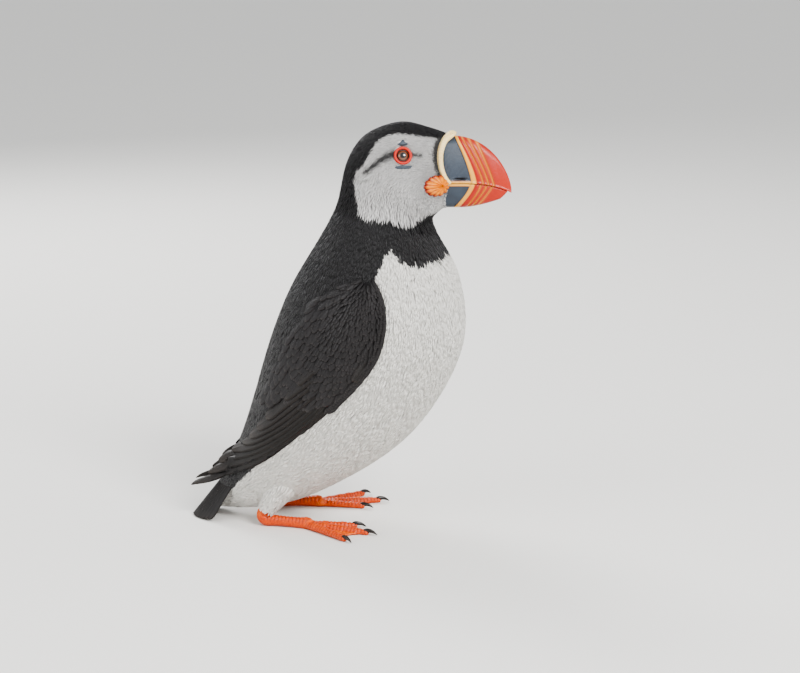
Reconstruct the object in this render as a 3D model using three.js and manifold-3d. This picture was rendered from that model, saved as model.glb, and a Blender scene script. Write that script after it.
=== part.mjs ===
// A life-size Atlantic puffin at rest: upright on its tarsi, tail tip on the ground, wings folded.
// Millimetres, +Z up, +X towards the bill, +Y towards the bird's left. The origin is on the ground,
// under the middle of the bird. The right-hand parts are built, and the left ones are their mirror.
import * as THREE from "three";
import { mergeVertices } from "three/addons/utils/BufferGeometryUtils.js";
import Module from "manifold-3d";

const wasm = await Module();
wasm.setup();

// ---- Driving dimensions ----
const GAP = 0.35; // clearance between neighbouring pieces
const RIGHT = -1; // the sign of Y on the bird's right

// The body is lofted through these girths, from the vent to the bill's base. Each one runs from a
// point on the back line to a point on the front line, both [x, z], and has half a width and a
// fullness, which is 2 for an ellipse and more for a squarer section.
const GIRTHS = [
  { back: [-77.5, 10.5], front: [-75, 5], halfWidth: 2.2, fullness: 2 }, // tip of the undertail coverts
  { back: [-62.5, 41], front: [-47, 6], halfWidth: 19, fullness: 2 }, // rump and vent
  { back: [-53, 68], front: [-14, 17], halfWidth: 35, fullness: 2.1 }, // thighs
  { back: [-44.5, 98], front: [33, 48], halfWidth: 45, fullness: 2.15 }, // belly
  { back: [-33, 128], front: [61, 95], halfWidth: 46.5, fullness: 2.1 }, // breast
  { back: [-20, 150], front: [59.5, 134], halfWidth: 37, fullness: 2.05 }, // shoulders
  { back: [-9, 169], front: [47.5, 157], halfWidth: 26, fullness: 2 }, // collar
  { back: [-5.5, 180], front: [44.5, 165], halfWidth: 23.5, fullness: 2 }, // neck
  { back: [-2.8, 193], front: [45, 167.6], halfWidth: 23.3, fullness: 2.1 }, // nape
  { back: [2, 204], front: [46.3, 169], halfWidth: 23.4, fullness: 2.2 }, // cheeks
  { back: [10.5, 212.8], front: [47.5, 170.2], halfWidth: 22.4, fullness: 2.25 }, // behind the eye
  { back: [27, 218.3], front: [49.3, 171.6], halfWidth: 19, fullness: 2.25 }, // crown
  { back: [41.5, 215.6], front: [51.4, 172.6], halfWidth: 13.2, fullness: 2.25 }, // lores
  { back: [54, 211.6], front: [56, 173.2], halfWidth: 7.6, fullness: 2.4 }, // base of the bill
];
const LAST_GIRTH = GIRTHS.length - 1;
const BODY_RINGS = 35;
const BODY_SIDES = 24;
const TRUNK_TO_NECK = 5.65; // places along the row of girths where the body is parted
const NECK_TO_HEAD = 7.45;

// The black plumage is parted from the pale along these lines, [x, z] in side view.
const CROWN_LINE = [
  [62, 207], [46, 209.5], [36.2, 212], [28.5, 213.2], [21.6, 212], [16.5, 207.5],
  [12.5, 200], [8.5, 191.5], [6, 181], [9, 160],
];
const MANTLE_LINE = [
  [19, 170], [16, 150], [10, 132], [4, 113], [-9, 92], [-28, 69], [-48, 50], [-68, 33], [-95, 14],
];

// The folded wing in side view: its upper and its lower edge, both [x, z], from shoulder to tip.
const WING_UPPER_EDGE = [
  [10, 140.5], [-2, 134], [-14, 122.5], [-24, 106], [-31.5, 91], [-38.5, 77.5],
  [-46.5, 64.5], [-53.5, 54], [-60.5, 46], [-69.5, 37.8], [-79, 28.5], [-88, 19.8],
];
const WING_LOWER_EDGE = [
  [15.5, 139.5], [21.5, 129], [23.2, 114], [19, 98], [9.5, 84.5], [-2.5, 72],
  [-14, 62], [-27, 52], [-41, 41], [-56.5, 31], [-72, 23], [-87.4, 18.4],
];
const WING_THICKNESS = 6; // at the wrist and along the leading edge
const WING_SHELL = 13; // how deep the wing's blank reaches before the body is cut out of it
const WING_TIP_SHELL = 2.4;
const WING_TIP_SPREAD = 6; // the tip's distance from the middle plane
const WING_RINGS = 16;
const WING_STEPS = 6;

const TAIL_ROOT = [-57, 43];
const TAIL_TIP = [-88, 0.2];
const TAIL_HALF_WIDTH = 20;
const TAIL_THICKNESS = [5, 1.3]; // root, tip
const TAIL_ROOF = 3; // how much lower its sides lie than its middle

// Each half of the bill is lofted through curved girths, which lean back from the gape line to the
// outer ridge. Each one has its x at the gape line and at the ridge, and so has each groove.
const BILL_HALF_WIDTH = 8;
const BILL_EDGE = 0.7; // half the thickness left at the tip
const BILL_BASE_X = 51;
const BILL_TIP = [86.4, 181.3];
const CULMEN_RISE = 29.7;
const GAPE_Z = 186.2;
const GAPE_DROP = 5.6;
const GONYS_Z = 172.7;
const GONYS_RISE = 7.2;
const UPPER_BILL = {
  girths: [[48, 44], [56, 51], [62, 54], [80, 73.5], [82.3, 79], [84.2, 83], [85.6, 85.5], [86.2, 86.2]],
  grooves: [[67, 56.8], [71.3, 59.2], [74.1, 62.8], [76.9, 67]],
  ridgeWidth: 0.4, // as a share of the width at the gape
};
const LOWER_BILL = {
  girths: [[46, 46], [58, 51], [79, 74], [81.8, 79], [83.9, 82.6]],
  grooves: [[65.9, 56.4], [69.1, 61.5], [72.4, 64.6], [75.6, 68.2]],
  ridgeWidth: 0.55,
};
const GROOVE_DEPTH = 0.45;
const GROOVE_HALF_WIDTH = 0.55;
const BILL_LEAN = 1.5; // how the lean grows with height
const BILL_SIDE = [0, 0.16, 0.42, 0.7, 0.9, 1]; // heights of a girth's points

// The swollen rim round the base of the upper bill, [x, z] in side view, from the gape to the culmen.
const RIM_LINE = [
  [54.2, 186.2], [51.6, 189], [49.6, 193.5], [48.7, 199], [49.2, 204.5], [51, 209.5], [53.6, 213],
];
const RIM_HALF_WIDTH = 8.7;
const RIM_RADII = [1.9, 1.3]; // along the bill, out from it

const EYE_CENTRE = [30.2, 202.5]; // x, z
const EYE_RADIUS = 4.3;
const EYE_DEPTH = 3.2; // the eyeball's centre below the feathered surface
const EYE_RING = 4.1; // the bare ring's radius, and that of its section
const EYE_RING_SECTION = 0.75;
const BROW_PLATE = [[-2.4, 5.4], [2.6, 5.4], [1.6, 7.2], [0.4, 9.4], [-0.8, 7.4]]; // from the eye
const CHEEK_PLATE = [[-4.6, -5.7], [-3.6, -6.9], [2.8, -7.1], [4.6, -5.8], [2.4, -5.3], [-2.2, -5.2]];
const PLATE_THICKNESS = 1.4;

const ROSETTE_CENTRE = [46.8, 185.4];
const ROSETTE_RADIUS = 4.5;
const ROSETTE_LOBES = 8;
const ROSETTE_LOBE_HEIGHT = 0.55;
const ROSETTE_THICKNESS = 1.5;
const ROSETTE_SOCKET = 2.4; // depth

const FOOT_ROOT = [-21.5, -23]; // x, y of the right foot, where its toes meet
const HEEL = [-45, -19];
const TARSUS_RADII = [2.7, 3.3]; // across, up
const THIGH_RISE = [13, 27]; // how far in front of the heel, and how high, the leg enters the body
const TOE_RADIUS = 2.5;
const TOE_PAD_RADIUS = 3.4;
const WEB_THICKNESS = 1.1;
const TOES = [
  { name: "inner", length: 27, angle: 7 },
  { name: "middle", length: 36, angle: -17 },
  { name: "outer", length: 34, angle: -46 },
];
const CLAW_LENGTH = 6.5;
const CLAW_RADIUS = 1.5;
const CLAW_OVERLAP = 1.5; // how far its root reaches back over the toe

// ---- Materials ----
const colour = (hex, roughness) =>
  new THREE.MeshStandardMaterial({ color: hex, roughness, metalness: 0 });
const blackPlumage = colour(0x17161a, 0.6);
const facePlumage = colour(0xd9d8d6, 0.8);
const whitePlumage = colour(0xf2f0ec, 0.85);
const redBill = colour(0xd9481c, 0.35);
const creamRim = colour(0xe6d9a6, 0.5);
const orangeSkin = colour(0xe8862a, 0.5);
const redLid = colour(0xd23a1c, 0.5);
const slateHorn = colour(0x56626e, 0.5);
const darkEye = colour(0x1d130e, 0.05);
const orangeFoot = colour(0xe8601c, 0.45);
const blackClaw = colour(0x1a1614, 0.35);

// ---- Solids ----

// A closed solid of rings with the same number of points each, and a flat fan over each end.
function loft(rings) {
  const sides = rings[0].length;
  const points = rings.flat();
  const middleOf = (ring) =>
    ring.reduce((sum, p) => sum.add(p), new THREE.Vector3()).divideScalar(sides);
  points.push(middleOf(rings[0]), middleOf(rings[rings.length - 1]));
  const index = [];
  for (let i = 0; i + 1 < rings.length; i++) {
    for (let j = 0; j < sides; j++) {
      const k = (j + 1) % sides;
      const [a, b, c, d] = [i * sides + j, i * sides + k, (i + 1) * sides + k, (i + 1) * sides + j];
      index.push(a, b, c, a, c, d);
    }
  }
  const last = (rings.length - 1) * sides;
  for (let j = 0; j < sides; j++) {
    const k = (j + 1) % sides;
    index.push(points.length - 2, k, j, points.length - 1, last + j, last + k);
  }
  const geometry = new THREE.BufferGeometry().setFromPoints(points);
  geometry.setIndex(index);
  return solidOf(geometry);
}

// A three.js geometry as a solid, with its faces turned outwards.
function solidOf(geometry) {
  const bare = geometry.clone();
  bare.deleteAttribute("normal");
  bare.deleteAttribute("uv");
  const merged = mergeVertices(bare, 1e-4);
  const make = (triVerts) => {
    const vertProperties = merged.attributes.position.array;
    return new wasm.Manifold(new wasm.Mesh({ numProp: 3, vertProperties, triVerts }));
  };
  const triVerts = new Uint32Array(merged.index.array);
  const made = make(triVerts);
  return made.volume() > 0 ? made : make(triVerts.reverse());
}

function geometryOf(solid) {
  const mesh = solid.getMesh();
  const geometry = new THREE.BufferGeometry();
  geometry.setAttribute("position", new THREE.BufferAttribute(mesh.vertProperties, 3));
  geometry.setIndex(new THREE.BufferAttribute(mesh.triVerts, 1));
  return geometry;
}

// The ground, as a block to cut away.
const belowGround = solidOf(new THREE.BoxGeometry(400, 400, 100).translate(0, 0, -50));

// A tube of oval rings along points, with [across, up] radii at each. Up is square to the guide.
function tube(path, radii, sides, guide = new THREE.Vector3(0, 1, 0)) {
  const rings = path.map((centre, i) => {
    const ahead = path[Math.min(i + 1, path.length - 1)];
    const behind = path[Math.max(i - 1, 0)];
    const along = ahead.clone().sub(behind).normalize();
    const up = along.clone().cross(guide).normalize();
    const across = up.clone().cross(along);
    return circle(sides, (c, s) =>
      centre.clone().addScaledVector(across, c * radii[i][0]).addScaledVector(up, s * radii[i][1]),
    );
  });
  return loft(rings);
}

function circle(sides, pointAt) {
  return Array.from({ length: sides }, (_, j) => {
    const angle = (2 * Math.PI * j) / sides;
    return pointAt(Math.cos(angle), Math.sin(angle));
  });
}

// ---- The body's surface ----

const curveThrough = (pairs) =>
  new THREE.CatmullRomCurve3(pairs.map(([x, z]) => new THREE.Vector3(x, 0, z)), false, "catmullrom", 0.5);
const backLine = curveThrough(GIRTHS.map((g) => g.back));
const frontLine = curveThrough(GIRTHS.map((g) => g.front));
const girthLine = curveThrough(GIRTHS.map((g) => [g.halfWidth, g.fullness]));

function girthAt(place) {
  const t = place / LAST_GIRTH;
  const { x: halfWidth, z: fullness } = girthLine.getPoint(t);
  return { back: backLine.getPoint(t), front: frontLine.getPoint(t), halfWidth, fullness };
}

// One ring of the body, swollen outwards by a margin.
function bodyRing(place, margin) {
  const { back, front, halfWidth, fullness } = girthAt(place);
  const centre = back.clone().lerp(front, 0.5);
  const toBack = back.clone().sub(centre);
  const halfDepth = toBack.length();
  toBack.normalize();
  return circle(BODY_SIDES, (c, s) => {
    const round = (Math.abs(c) ** fullness + Math.abs(s) ** fullness) ** (-1 / fullness);
    const point = centre.clone().addScaledVector(toBack, c * round * (halfDepth + margin));
    point.y = s * round * (halfWidth + margin);
    return point;
  });
}

function bodySolid(margin) {
  const rings = [];
  for (let i = 0; i <= BODY_RINGS; i++) rings.push(bodyRing((LAST_GIRTH * i) / BODY_RINGS, margin));
  return loft(rings);
}

// Half the body's width at a point of the side view, or 0 outside the outline.
function halfWidthAt(x, z) {
  const sideOf = (place) => {
    const { back, front } = girthAt(place);
    return (front.x - back.x) * (z - back.z) - (front.z - back.z) * (x - back.x);
  };
  let [low, high] = [0, LAST_GIRTH];
  for (let i = 0; i < 30; i++) {
    const middle = (low + high) / 2;
    if (sideOf(middle) > 0) low = middle;
    else high = middle;
  }
  const { back, front, halfWidth, fullness } = girthAt(low);
  const half = back.distanceTo(front) / 2;
  const offCentre = Math.hypot(x - (back.x + front.x) / 2, z - (back.z + front.z) / 2) / half;
  return offCentre < 1 ? halfWidth * (1 - offCentre ** fullness) ** (1 / fullness) : 0;
}

// A frame on the right side of the head: origin on the surface, +Z out of it, +Y up the head.
function frameOnHead([x, z]) {
  const step = 0.5;
  const slopeX = (halfWidthAt(x + step, z) - halfWidthAt(x - step, z)) / (2 * step);
  const slopeZ = (halfWidthAt(x, z + step) - halfWidthAt(x, z - step)) / (2 * step);
  const out = new THREE.Vector3(-slopeX, RIGHT, -slopeZ).normalize();
  const across = new THREE.Vector3(0, 0, 1).cross(out).normalize();
  const up = out.clone().cross(across);
  const origin = new THREE.Vector3(x, RIGHT * halfWidthAt(x, z), z);
  return new THREE.Matrix4().makeBasis(across, up, out).setPosition(origin);
}

// ---- Wing ----

function wingSolid() {
  const upper = curveThrough(WING_UPPER_EDGE);
  const lower = curveThrough(WING_LOWER_EDGE);
  const softMax = (a, b) => (a + b + Math.hypot(a - b, 4)) / 2;
  const rings = [];
  for (let i = 0; i <= WING_RINGS; i++) {
    const t = i / WING_RINGS;
    const [top, bottom] = [upper.getPoint(t), lower.getPoint(t)];
    const toTip = THREE.MathUtils.smoothstep(t, 0.45, 0.85);
    const shell = THREE.MathUtils.lerp(WING_SHELL, WING_TIP_SHELL, toTip);
    const shoulder = THREE.MathUtils.smoothstep(t, -0.08, 0.16);
    const outer = [];
    for (let j = 0; j <= WING_STEPS; j++) {
      const across = j / WING_STEPS;
      const point = top.clone().lerp(bottom, across);
      const crown = Math.sin(Math.PI * across ** 1.35) ** 0.7;
      const thickness = 1.2 + (WING_THICKNESS - 1.2) * crown * (1 - 0.55 * toTip) * shoulder;
      const tipPlace = WING_TIP_SPREAD + 9 * across * (1 - t) + 2 * across;
      point.y = softMax(halfWidthAt(point.x, point.z) + thickness - 2, tipPlace * toTip);
      outer.push(point);
    }
    const inner = outer.map((p) => new THREE.Vector3(p.x, Math.max(p.y - shell, 1), p.z)).reverse();
    rings.push([...outer, ...inner].map((p) => new THREE.Vector3(p.x, RIGHT * p.y, p.z)));
  }
  return loft(rings).subtract(bodySolid(GAP));
}

// ---- Tail ----

function tailSolid(margin) {
  const root = new THREE.Vector3(TAIL_ROOT[0], 0, TAIL_ROOT[1]);
  const tip = new THREE.Vector3(TAIL_TIP[0], 0, TAIL_TIP[1]);
  const along = tip.clone().sub(root).normalize();
  const up = new THREE.Vector3(along.z, 0, -along.x);
  const steps = 8;
  const rings = [];
  for (let i = 0; i <= steps; i++) {
    const t = 1 - (1 - i / steps) ** 1.6; // closer together towards the round end
    const round = Math.sqrt(Math.max(1 - Math.max((t - 0.78) / 0.24, 0) ** 2.6, 0));
    const halfWidth = THREE.MathUtils.lerp(11, TAIL_HALF_WIDTH, Math.min(t * 1.3, 1)) * round + margin;
    const thickness = THREE.MathUtils.lerp(TAIL_THICKNESS[0], TAIL_THICKNESS[1], t) + 2 * margin;
    const centre = root.clone().lerp(tip, t);
    rings.push(
      circle(12, (c, s) => {
        const rise = (s * thickness) / 2 - TAIL_ROOF * c * c * (1 - t);
        const point = centre.clone().addScaledVector(up, rise);
        point.y = c * halfWidth;
        return point;
      }),
    );
  }
  return loft(rings);
}

// ---- Bill ----

// Heights of the culmen, of the gape line and of the gonys.
const alongBill = (x, from) => THREE.MathUtils.clamp((x - from) / (BILL_TIP[0] - from), 0, 1);
const culmenAt = (x) => BILL_TIP[1] + CULMEN_RISE * (1 - alongBill(x, 54) ** 2.15) ** 0.62;
const gapeAt = (x) => GAPE_Z - GAPE_DROP * alongBill(x, 54) ** 3;
const gonysAt = (x) => GONYS_Z + GONYS_RISE * alongBill(x, 60) ** 1.6;

// Half of the bill, from the gape line to a ridge, which is the culmen or the gonys.
function billHalf({ girths, grooves, ridgeWidth }, ridgeAt, tomium) {
  const plain = girths.map(([gapeX, ridgeX]) => ({ gapeX, ridgeX, depth: 0 }));
  const cut = grooves.flatMap(([gapeX, ridgeX]) =>
    [-1, 0, 1].map((side) => ({
      gapeX: gapeX + side * GROOVE_HALF_WIDTH,
      ridgeX: ridgeX + side * GROOVE_HALF_WIDTH,
      depth: side === 0 ? GROOVE_DEPTH : 0,
    })),
  );
  const inOrder = [...plain, ...cut].sort((one, other) => one.gapeX - other.gapeX);
  const rings = inOrder.map(({ gapeX, ridgeX, depth }) => {
    const side = BILL_SIDE.map((rise) => {
      const x = gapeX + (ridgeX - gapeX) * rise ** BILL_LEAN;
      const foot = gapeAt(x) + tomium;
      const slim = 1 - alongBill(x, BILL_BASE_X) ** 1.15;
      const halfWidth = (BILL_HALF_WIDTH * slim + BILL_EDGE) * (1 - (1 - ridgeWidth) * rise ** 1.7);
      const y = rise === 1 ? halfWidth * 0.45 : halfWidth - depth * Math.min(halfWidth, 1);
      return new THREE.Vector3(x, y, foot + (ridgeAt(x) - foot) * rise);
    });
    const otherSide = side.map((p) => new THREE.Vector3(p.x, -p.y, p.z)).reverse();
    return [...side, ...otherSide];
  });
  return loft(rings);
}

// The rim is an arch from one corner of the gape, over the culmen, to the other corner.
function rimSolid(margin) {
  const line = curveThrough(RIM_LINE);
  const path = [];
  const radii = [];
  const steps = 18;
  for (let i = 0; i <= steps; i++) {
    const turn = 1 - (2 * i) / steps;
    const rise = Math.cos((Math.PI * turn) / 2) ** 0.8;
    const point = line.getPoint(rise);
    point.y = Math.sign(turn) * RIM_HALF_WIDTH * Math.sqrt(1 - rise ** 2.6);
    path.push(point);
    const slim = 0.5 + 0.5 * Math.sqrt(rise);
    radii.push(RIM_RADII.map((radius) => radius * slim + margin));
  }
  return tube(path, radii, 6, new THREE.Vector3(1, 0, 0));
}

// ---- Eye, its ring and its two horny plates ----

const eyeFrame = frameOnHead(EYE_CENTRE);

function eyeball() {
  const ball = new THREE.SphereGeometry(EYE_RADIUS, 14, 8).translate(0, 0, -EYE_DEPTH);
  return solidOf(ball.applyMatrix4(eyeFrame));
}

function eyeRing() {
  const ring = new THREE.TorusGeometry(EYE_RING, EYE_RING_SECTION, 5, 16).translate(0, 0, 0.15);
  return solidOf(ring.applyMatrix4(eyeFrame));
}

// A round hole in the head, from a depth below its surface outwards.
function socket(frame, radius, depth, sides) {
  const profile = [[0, -depth], [radius, -depth], [radius, 6], [0, 6], [0, -depth]];
  const hole = new THREE.LatheGeometry(profile.map(([r, h]) => new THREE.Vector2(r, h)), sides);
  return solidOf(hole.rotateX(Math.PI / 2).applyMatrix4(frame));
}

// A flat plate with bevelled edges, from an outline in the eye's own frame.
function horn(outline, margin) {
  const shape = new THREE.Shape(outline.map(([x, y]) => new THREE.Vector2(x, y)));
  const bevel = { bevelThickness: 0.4, bevelSize: 0.35 + margin, bevelSegments: 1 };
  const plate = new THREE.ExtrudeGeometry(shape, { depth: PLATE_THICKNESS + margin, ...bevel });
  return solidOf(plate.translate(0, 0, 0.5 - PLATE_THICKNESS - margin).applyMatrix4(eyeFrame));
}

// ---- The fleshy rosette at the corner of the gape ----

const rosetteFrame = frameOnHead(ROSETTE_CENTRE);

function rosette() {
  const shape = new THREE.Shape();
  const steps = ROSETTE_LOBES * 2;
  for (let i = 0; i <= steps; i++) {
    const angle = (2 * Math.PI * i) / steps;
    const radius = ROSETTE_RADIUS - (i % 2 === 0 ? ROSETTE_LOBE_HEIGHT : 0);
    if (i === 0) shape.moveTo(radius, 0);
    else shape.lineTo(radius * Math.cos(angle), radius * Math.sin(angle));
  }
  const bevel = { bevelThickness: 0.7, bevelSize: 0.6, bevelOffset: -0.6, bevelSegments: 1 };
  const disc = new THREE.ExtrudeGeometry(shape, { depth: ROSETTE_THICKNESS, ...bevel });
  return solidOf(disc.translate(0, 0, 0.2 - ROSETTE_THICKNESS).applyMatrix4(rosetteFrame));
}

// ---- Leg, foot and claws ----

function toeDirection({ angle }) {
  const turn = THREE.MathUtils.degToRad(angle);
  return new THREE.Vector3(Math.cos(turn), Math.sin(turn), 0);
}

const footRoot = new THREE.Vector3(FOOT_ROOT[0], FOOT_ROOT[1], 0);

// The leg comes out of the belly, bends at the heel and lies on the ground as far as the toes.
function legSolid(margin) {
  const [across, up] = TARSUS_RADII;
  const [heelX, heelY] = HEEL;
  const heel = new THREE.Vector3(heelX + 0.6, heelY, up - 0.1);
  const ankle = footRoot.clone().setZ(up - 0.4);
  const stations = [
    { at: new THREE.Vector3(heelX + THIGH_RISE[0], heelY + 1, THIGH_RISE[1]), radii: [5, 5] },
    { at: new THREE.Vector3(heelX + 2.5, heelY, 13), radii: [4, 4] },
    { at: new THREE.Vector3(heelX - 1, heelY, 6.6), radii: [3.4, 3.6] },
    { at: heel, radii: [across + 0.6, up + 0.3] },
    { at: heel.clone().lerp(ankle, 0.16), radii: [across + 0.3, up] },
    { at: heel.clone().lerp(ankle, 0.6), radii: [across, up] },
    { at: ankle, radii: [across, up - 0.2] },
  ];
  const radii = stations.map((station) => station.radii.map((radius) => radius + margin));
  const limb = tube(stations.map((station) => station.at), radii, 8);
  return limb.subtract(bodySolid(GAP)).subtract(belowGround);
}

function toeSolid(toe) {
  const direction = toeDirection(toe);
  const path = [];
  const radii = [];
  const steps = 5;
  for (let i = 0; i <= steps; i++) {
    const t = i / steps;
    const joint = 0.2 * (i % 2);
    const radius = TOE_RADIUS * (1 - 0.3 * t) + joint - (t === 1 ? 0.5 : 0);
    path.push(footRoot.clone().addScaledVector(direction, t * toe.length).setZ(radius * 0.82));
    radii.push([radius, radius * 0.95]);
  }
  return tube(path, radii, 6);
}

// The web between two toes: a flat sheet whose front edge is a shallow scallop.
function webSolid(one, other) {
  const at = (toe, share) => footRoot.clone().addScaledVector(toeDirection(toe), share * toe.length);
  const [first, last] = [at(one, 0.94), at(other, 0.94)];
  const dip = first.clone().lerp(last, 0.5).lerp(footRoot, 0.2);
  const shape = new THREE.Shape().moveTo(footRoot.x - 1, footRoot.y);
  shape.lineTo(first.x, first.y);
  shape.quadraticCurveTo(dip.x, dip.y, last.x, last.y);
  const options = { depth: WEB_THICKNESS, bevelEnabled: false, curveSegments: 4 };
  return solidOf(new THREE.ExtrudeGeometry(shape, options));
}

function footSolid() {
  const [inner, middle, outer] = TOES;
  const toes = TOES.map(toeSolid);
  const joined = toes.reduce((sum, toe) => sum.add(toe));
  const webbed = joined.add(webSolid(inner, middle)).add(webSolid(middle, outer));
  const pad = new THREE.SphereGeometry(TOE_PAD_RADIUS, 10, 6).scale(1.15, 1.2, 0.85);
  pad.translate(footRoot.x + 2, footRoot.y, 2.3);
  return webbed.add(solidOf(pad)).subtract(belowGround);
}

// A claw curves down from the end of its toe to a point just above the ground.
function clawSolid(toe, margin) {
  const direction = toeDirection(toe);
  const path = [];
  const radii = [];
  const steps = 4;
  for (let i = 0; i <= steps; i++) {
    const t = i / steps;
    const reach = toe.length - CLAW_OVERLAP + t * CLAW_LENGTH;
    const height = 2.2 + 0.5 * Math.sin(Math.PI * t * 0.8) - 1.9 * t * t;
    path.push(footRoot.clone().addScaledVector(direction, reach).setZ(height));
    const radius = CLAW_RADIUS * (1 - t) ** 0.7 + 0.22 + margin;
    radii.push([radius * 0.85, radius]);
  }
  return tube(path, radii, 6).subtract(belowGround);
}

// ---- Assembly ----

const puffin = new THREE.Group();
const centred = new THREE.Group();
puffin.add(centred);

function place(name, solid, material) {
  const mesh = new THREE.Mesh(geometryOf(solid), material);
  mesh.name = name;
  centred.add(mesh);
}

// The right-hand piece and its mirror image on the left.
function placePair(name, solid, material) {
  place(name + "_right", solid, material);
  const flipped = geometryOf(solid).scale(1, -1, 1);
  flipped.index.array.reverse();
  const mesh = new THREE.Mesh(flipped, material);
  mesh.name = name + "_left";
  centred.add(mesh);
}

const mirrored = (solid) => solidOf(geometryOf(solid).scale(1, -1, 1));
const cutBothSides = (solid, tool) => solid.subtract(tool).subtract(mirrored(tool));

// The region of the side view between two rows of [x, z] points, right through the bird.
function throughBird(row, otherRow) {
  const outline = [...row, ...otherRow.slice().reverse()];
  const shape = new THREE.Shape(outline.map(([x, z]) => new THREE.Vector2(x, z)));
  const block = new THREE.ExtrudeGeometry(shape, { depth: 200, bevelEnabled: false });
  return solidOf(block.rotateX(Math.PI / 2).translate(0, 100, 0));
}

// A thin sheet across the bird, which parts it along a line of the side view.
function sheetAlong(line) {
  const curve = new THREE.SplineCurve(line.map(([x, z]) => new THREE.Vector2(x, z)));
  const points = curve.getPoints(line.length === 2 ? 1 : 15);
  const side = (sign) =>
    points.map((p, i) => {
      const along = curve.getTangent(i / (points.length - 1));
      return [p.x - (sign * along.y * GAP) / 2, p.y + (sign * along.x * GAP) / 2];
    });
  return throughBird(side(1), side(-1));
}

// A girth's plane in side view, drawn past both of its ends.
function girthPlane(place) {
  const { back, front } = girthAt(place);
  const along = front.clone().sub(back).normalize().multiplyScalar(60);
  const [start, end] = [back.sub(along), front.add(along)];
  return [[start.x, start.z], [end.x, end.z]];
}

// The separate piece of a solid that holds a point of the middle plane.
function pieceAt(solid, [x, z]) {
  const probe = solidOf(new THREE.BoxGeometry(1, 1, 1).translate(x, 0, z));
  return solid.decompose().find((piece) => piece.intersect(probe).volume() > 0);
}

const parted = [TRUNK_TO_NECK, NECK_TO_HEAD].reduce(
  (rest, girth) => rest.subtract(sheetAlong(girthPlane(girth))),
  bodySolid(0),
);
const wholeTrunk = pieceAt(parted, [10, 90]).subtract(sheetAlong(MANTLE_LINE));
const wholeHead = pieceAt(parted, [25, 200]).subtract(sheetAlong(CROWN_LINE));

// The face ends, and the bill begins, along the rim and on down to the chin.
const faceLine = [[58, 240], ...RIM_LINE.slice().reverse(), [52.6, 184], [51.8, 178], [51.8, 150]];
const faceCurve = curveThrough(faceLine).getPoints(18).map((p) => [p.x, p.z]);
const aheadBy = (distance) => faceCurve.map(([x, z]) => [x + distance, z]);
const bySnout = throughBird(aheadBy(0), aheadBy(60));
const inFrontOfFace = throughBird(aheadBy(GAP), aheadBy(60));
const rimTool = rimSolid(GAP);
const eyeHole = { radius: EYE_RING + EYE_RING_SECTION + GAP, depth: EYE_DEPTH + EYE_RADIUS + GAP };
const eyeSocket = socket(eyeFrame, eyeHole.radius, eyeHole.depth, 14);
const rosetteSocket = socket(rosetteFrame, ROSETTE_RADIUS + GAP, ROSETTE_SOCKET, 12);
const headTools = [eyeSocket, horn(BROW_PLATE, GAP), horn(CHEEK_PLATE, GAP), rosetteSocket];
const finishHead = (piece) => headTools.reduce(cutBothSides, piece.subtract(bySnout).subtract(rimTool));
const head = finishHead(pieceAt(wholeHead, [30, 190]));
const crown = finishHead(pieceAt(wholeHead, [28, 216]));

const onFace = (half) => half.intersect(inFrontOfFace).subtract(rimTool);
const upperBill = onFace(billHalf(UPPER_BILL, culmenAt, GAP / 2));
const lowerBill = onFace(billHalf(LOWER_BILL, gonysAt, -GAP / 2));
const wattle = rosette().subtract(rimTool).subtract(bySnout);

const tail = tailSolid(0).subtract(bodySolid(GAP)).subtract(belowGround);
const wing = wingSolid().subtract(tailSolid(GAP));
const leg = legSolid(0);
const foot = TOES.reduce(
  (rest, toe) => rest.subtract(clawSolid(toe, GAP)),
  footSolid().subtract(legSolid(GAP)),
);

place("trunk", pieceAt(wholeTrunk, [30, 90]), whitePlumage);
place("mantle", pieceAt(wholeTrunk, [-25, 110]), blackPlumage);
place("neck", pieceAt(parted, [20, 165]), blackPlumage);
place("head", head, facePlumage);
place("crown", crown, blackPlumage);
place("tail", tail, blackPlumage);
place("bill_upper", upperBill, redBill);
place("bill_lower", lowerBill, redBill);
place("bill_rim", rimSolid(0), creamRim);
placePair("wing", wing, blackPlumage);
placePair("eye", eyeball(), darkEye);
placePair("eye_ring", eyeRing(), redLid);
placePair("brow_plate", horn(BROW_PLATE, 0), slateHorn);
placePair("cheek_plate", horn(CHEEK_PLATE, 0), slateHorn);
placePair("gape_rosette", wattle, orangeSkin);
placePair("leg", leg, orangeFoot);
placePair("foot", foot, orangeFoot);
for (const toe of TOES) placePair("claw_" + toe.name, clawSolid(toe, 0), blackClaw);

const box = new THREE.Box3().setFromObject(puffin);
centred.position.set(-(box.min.x + box.max.x) / 2, 0, -box.min.z);

export default puffin;
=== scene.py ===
import math

import bpy
import numpy as np
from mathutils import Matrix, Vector
from mathutils.bvhtree import BVHTree


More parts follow.
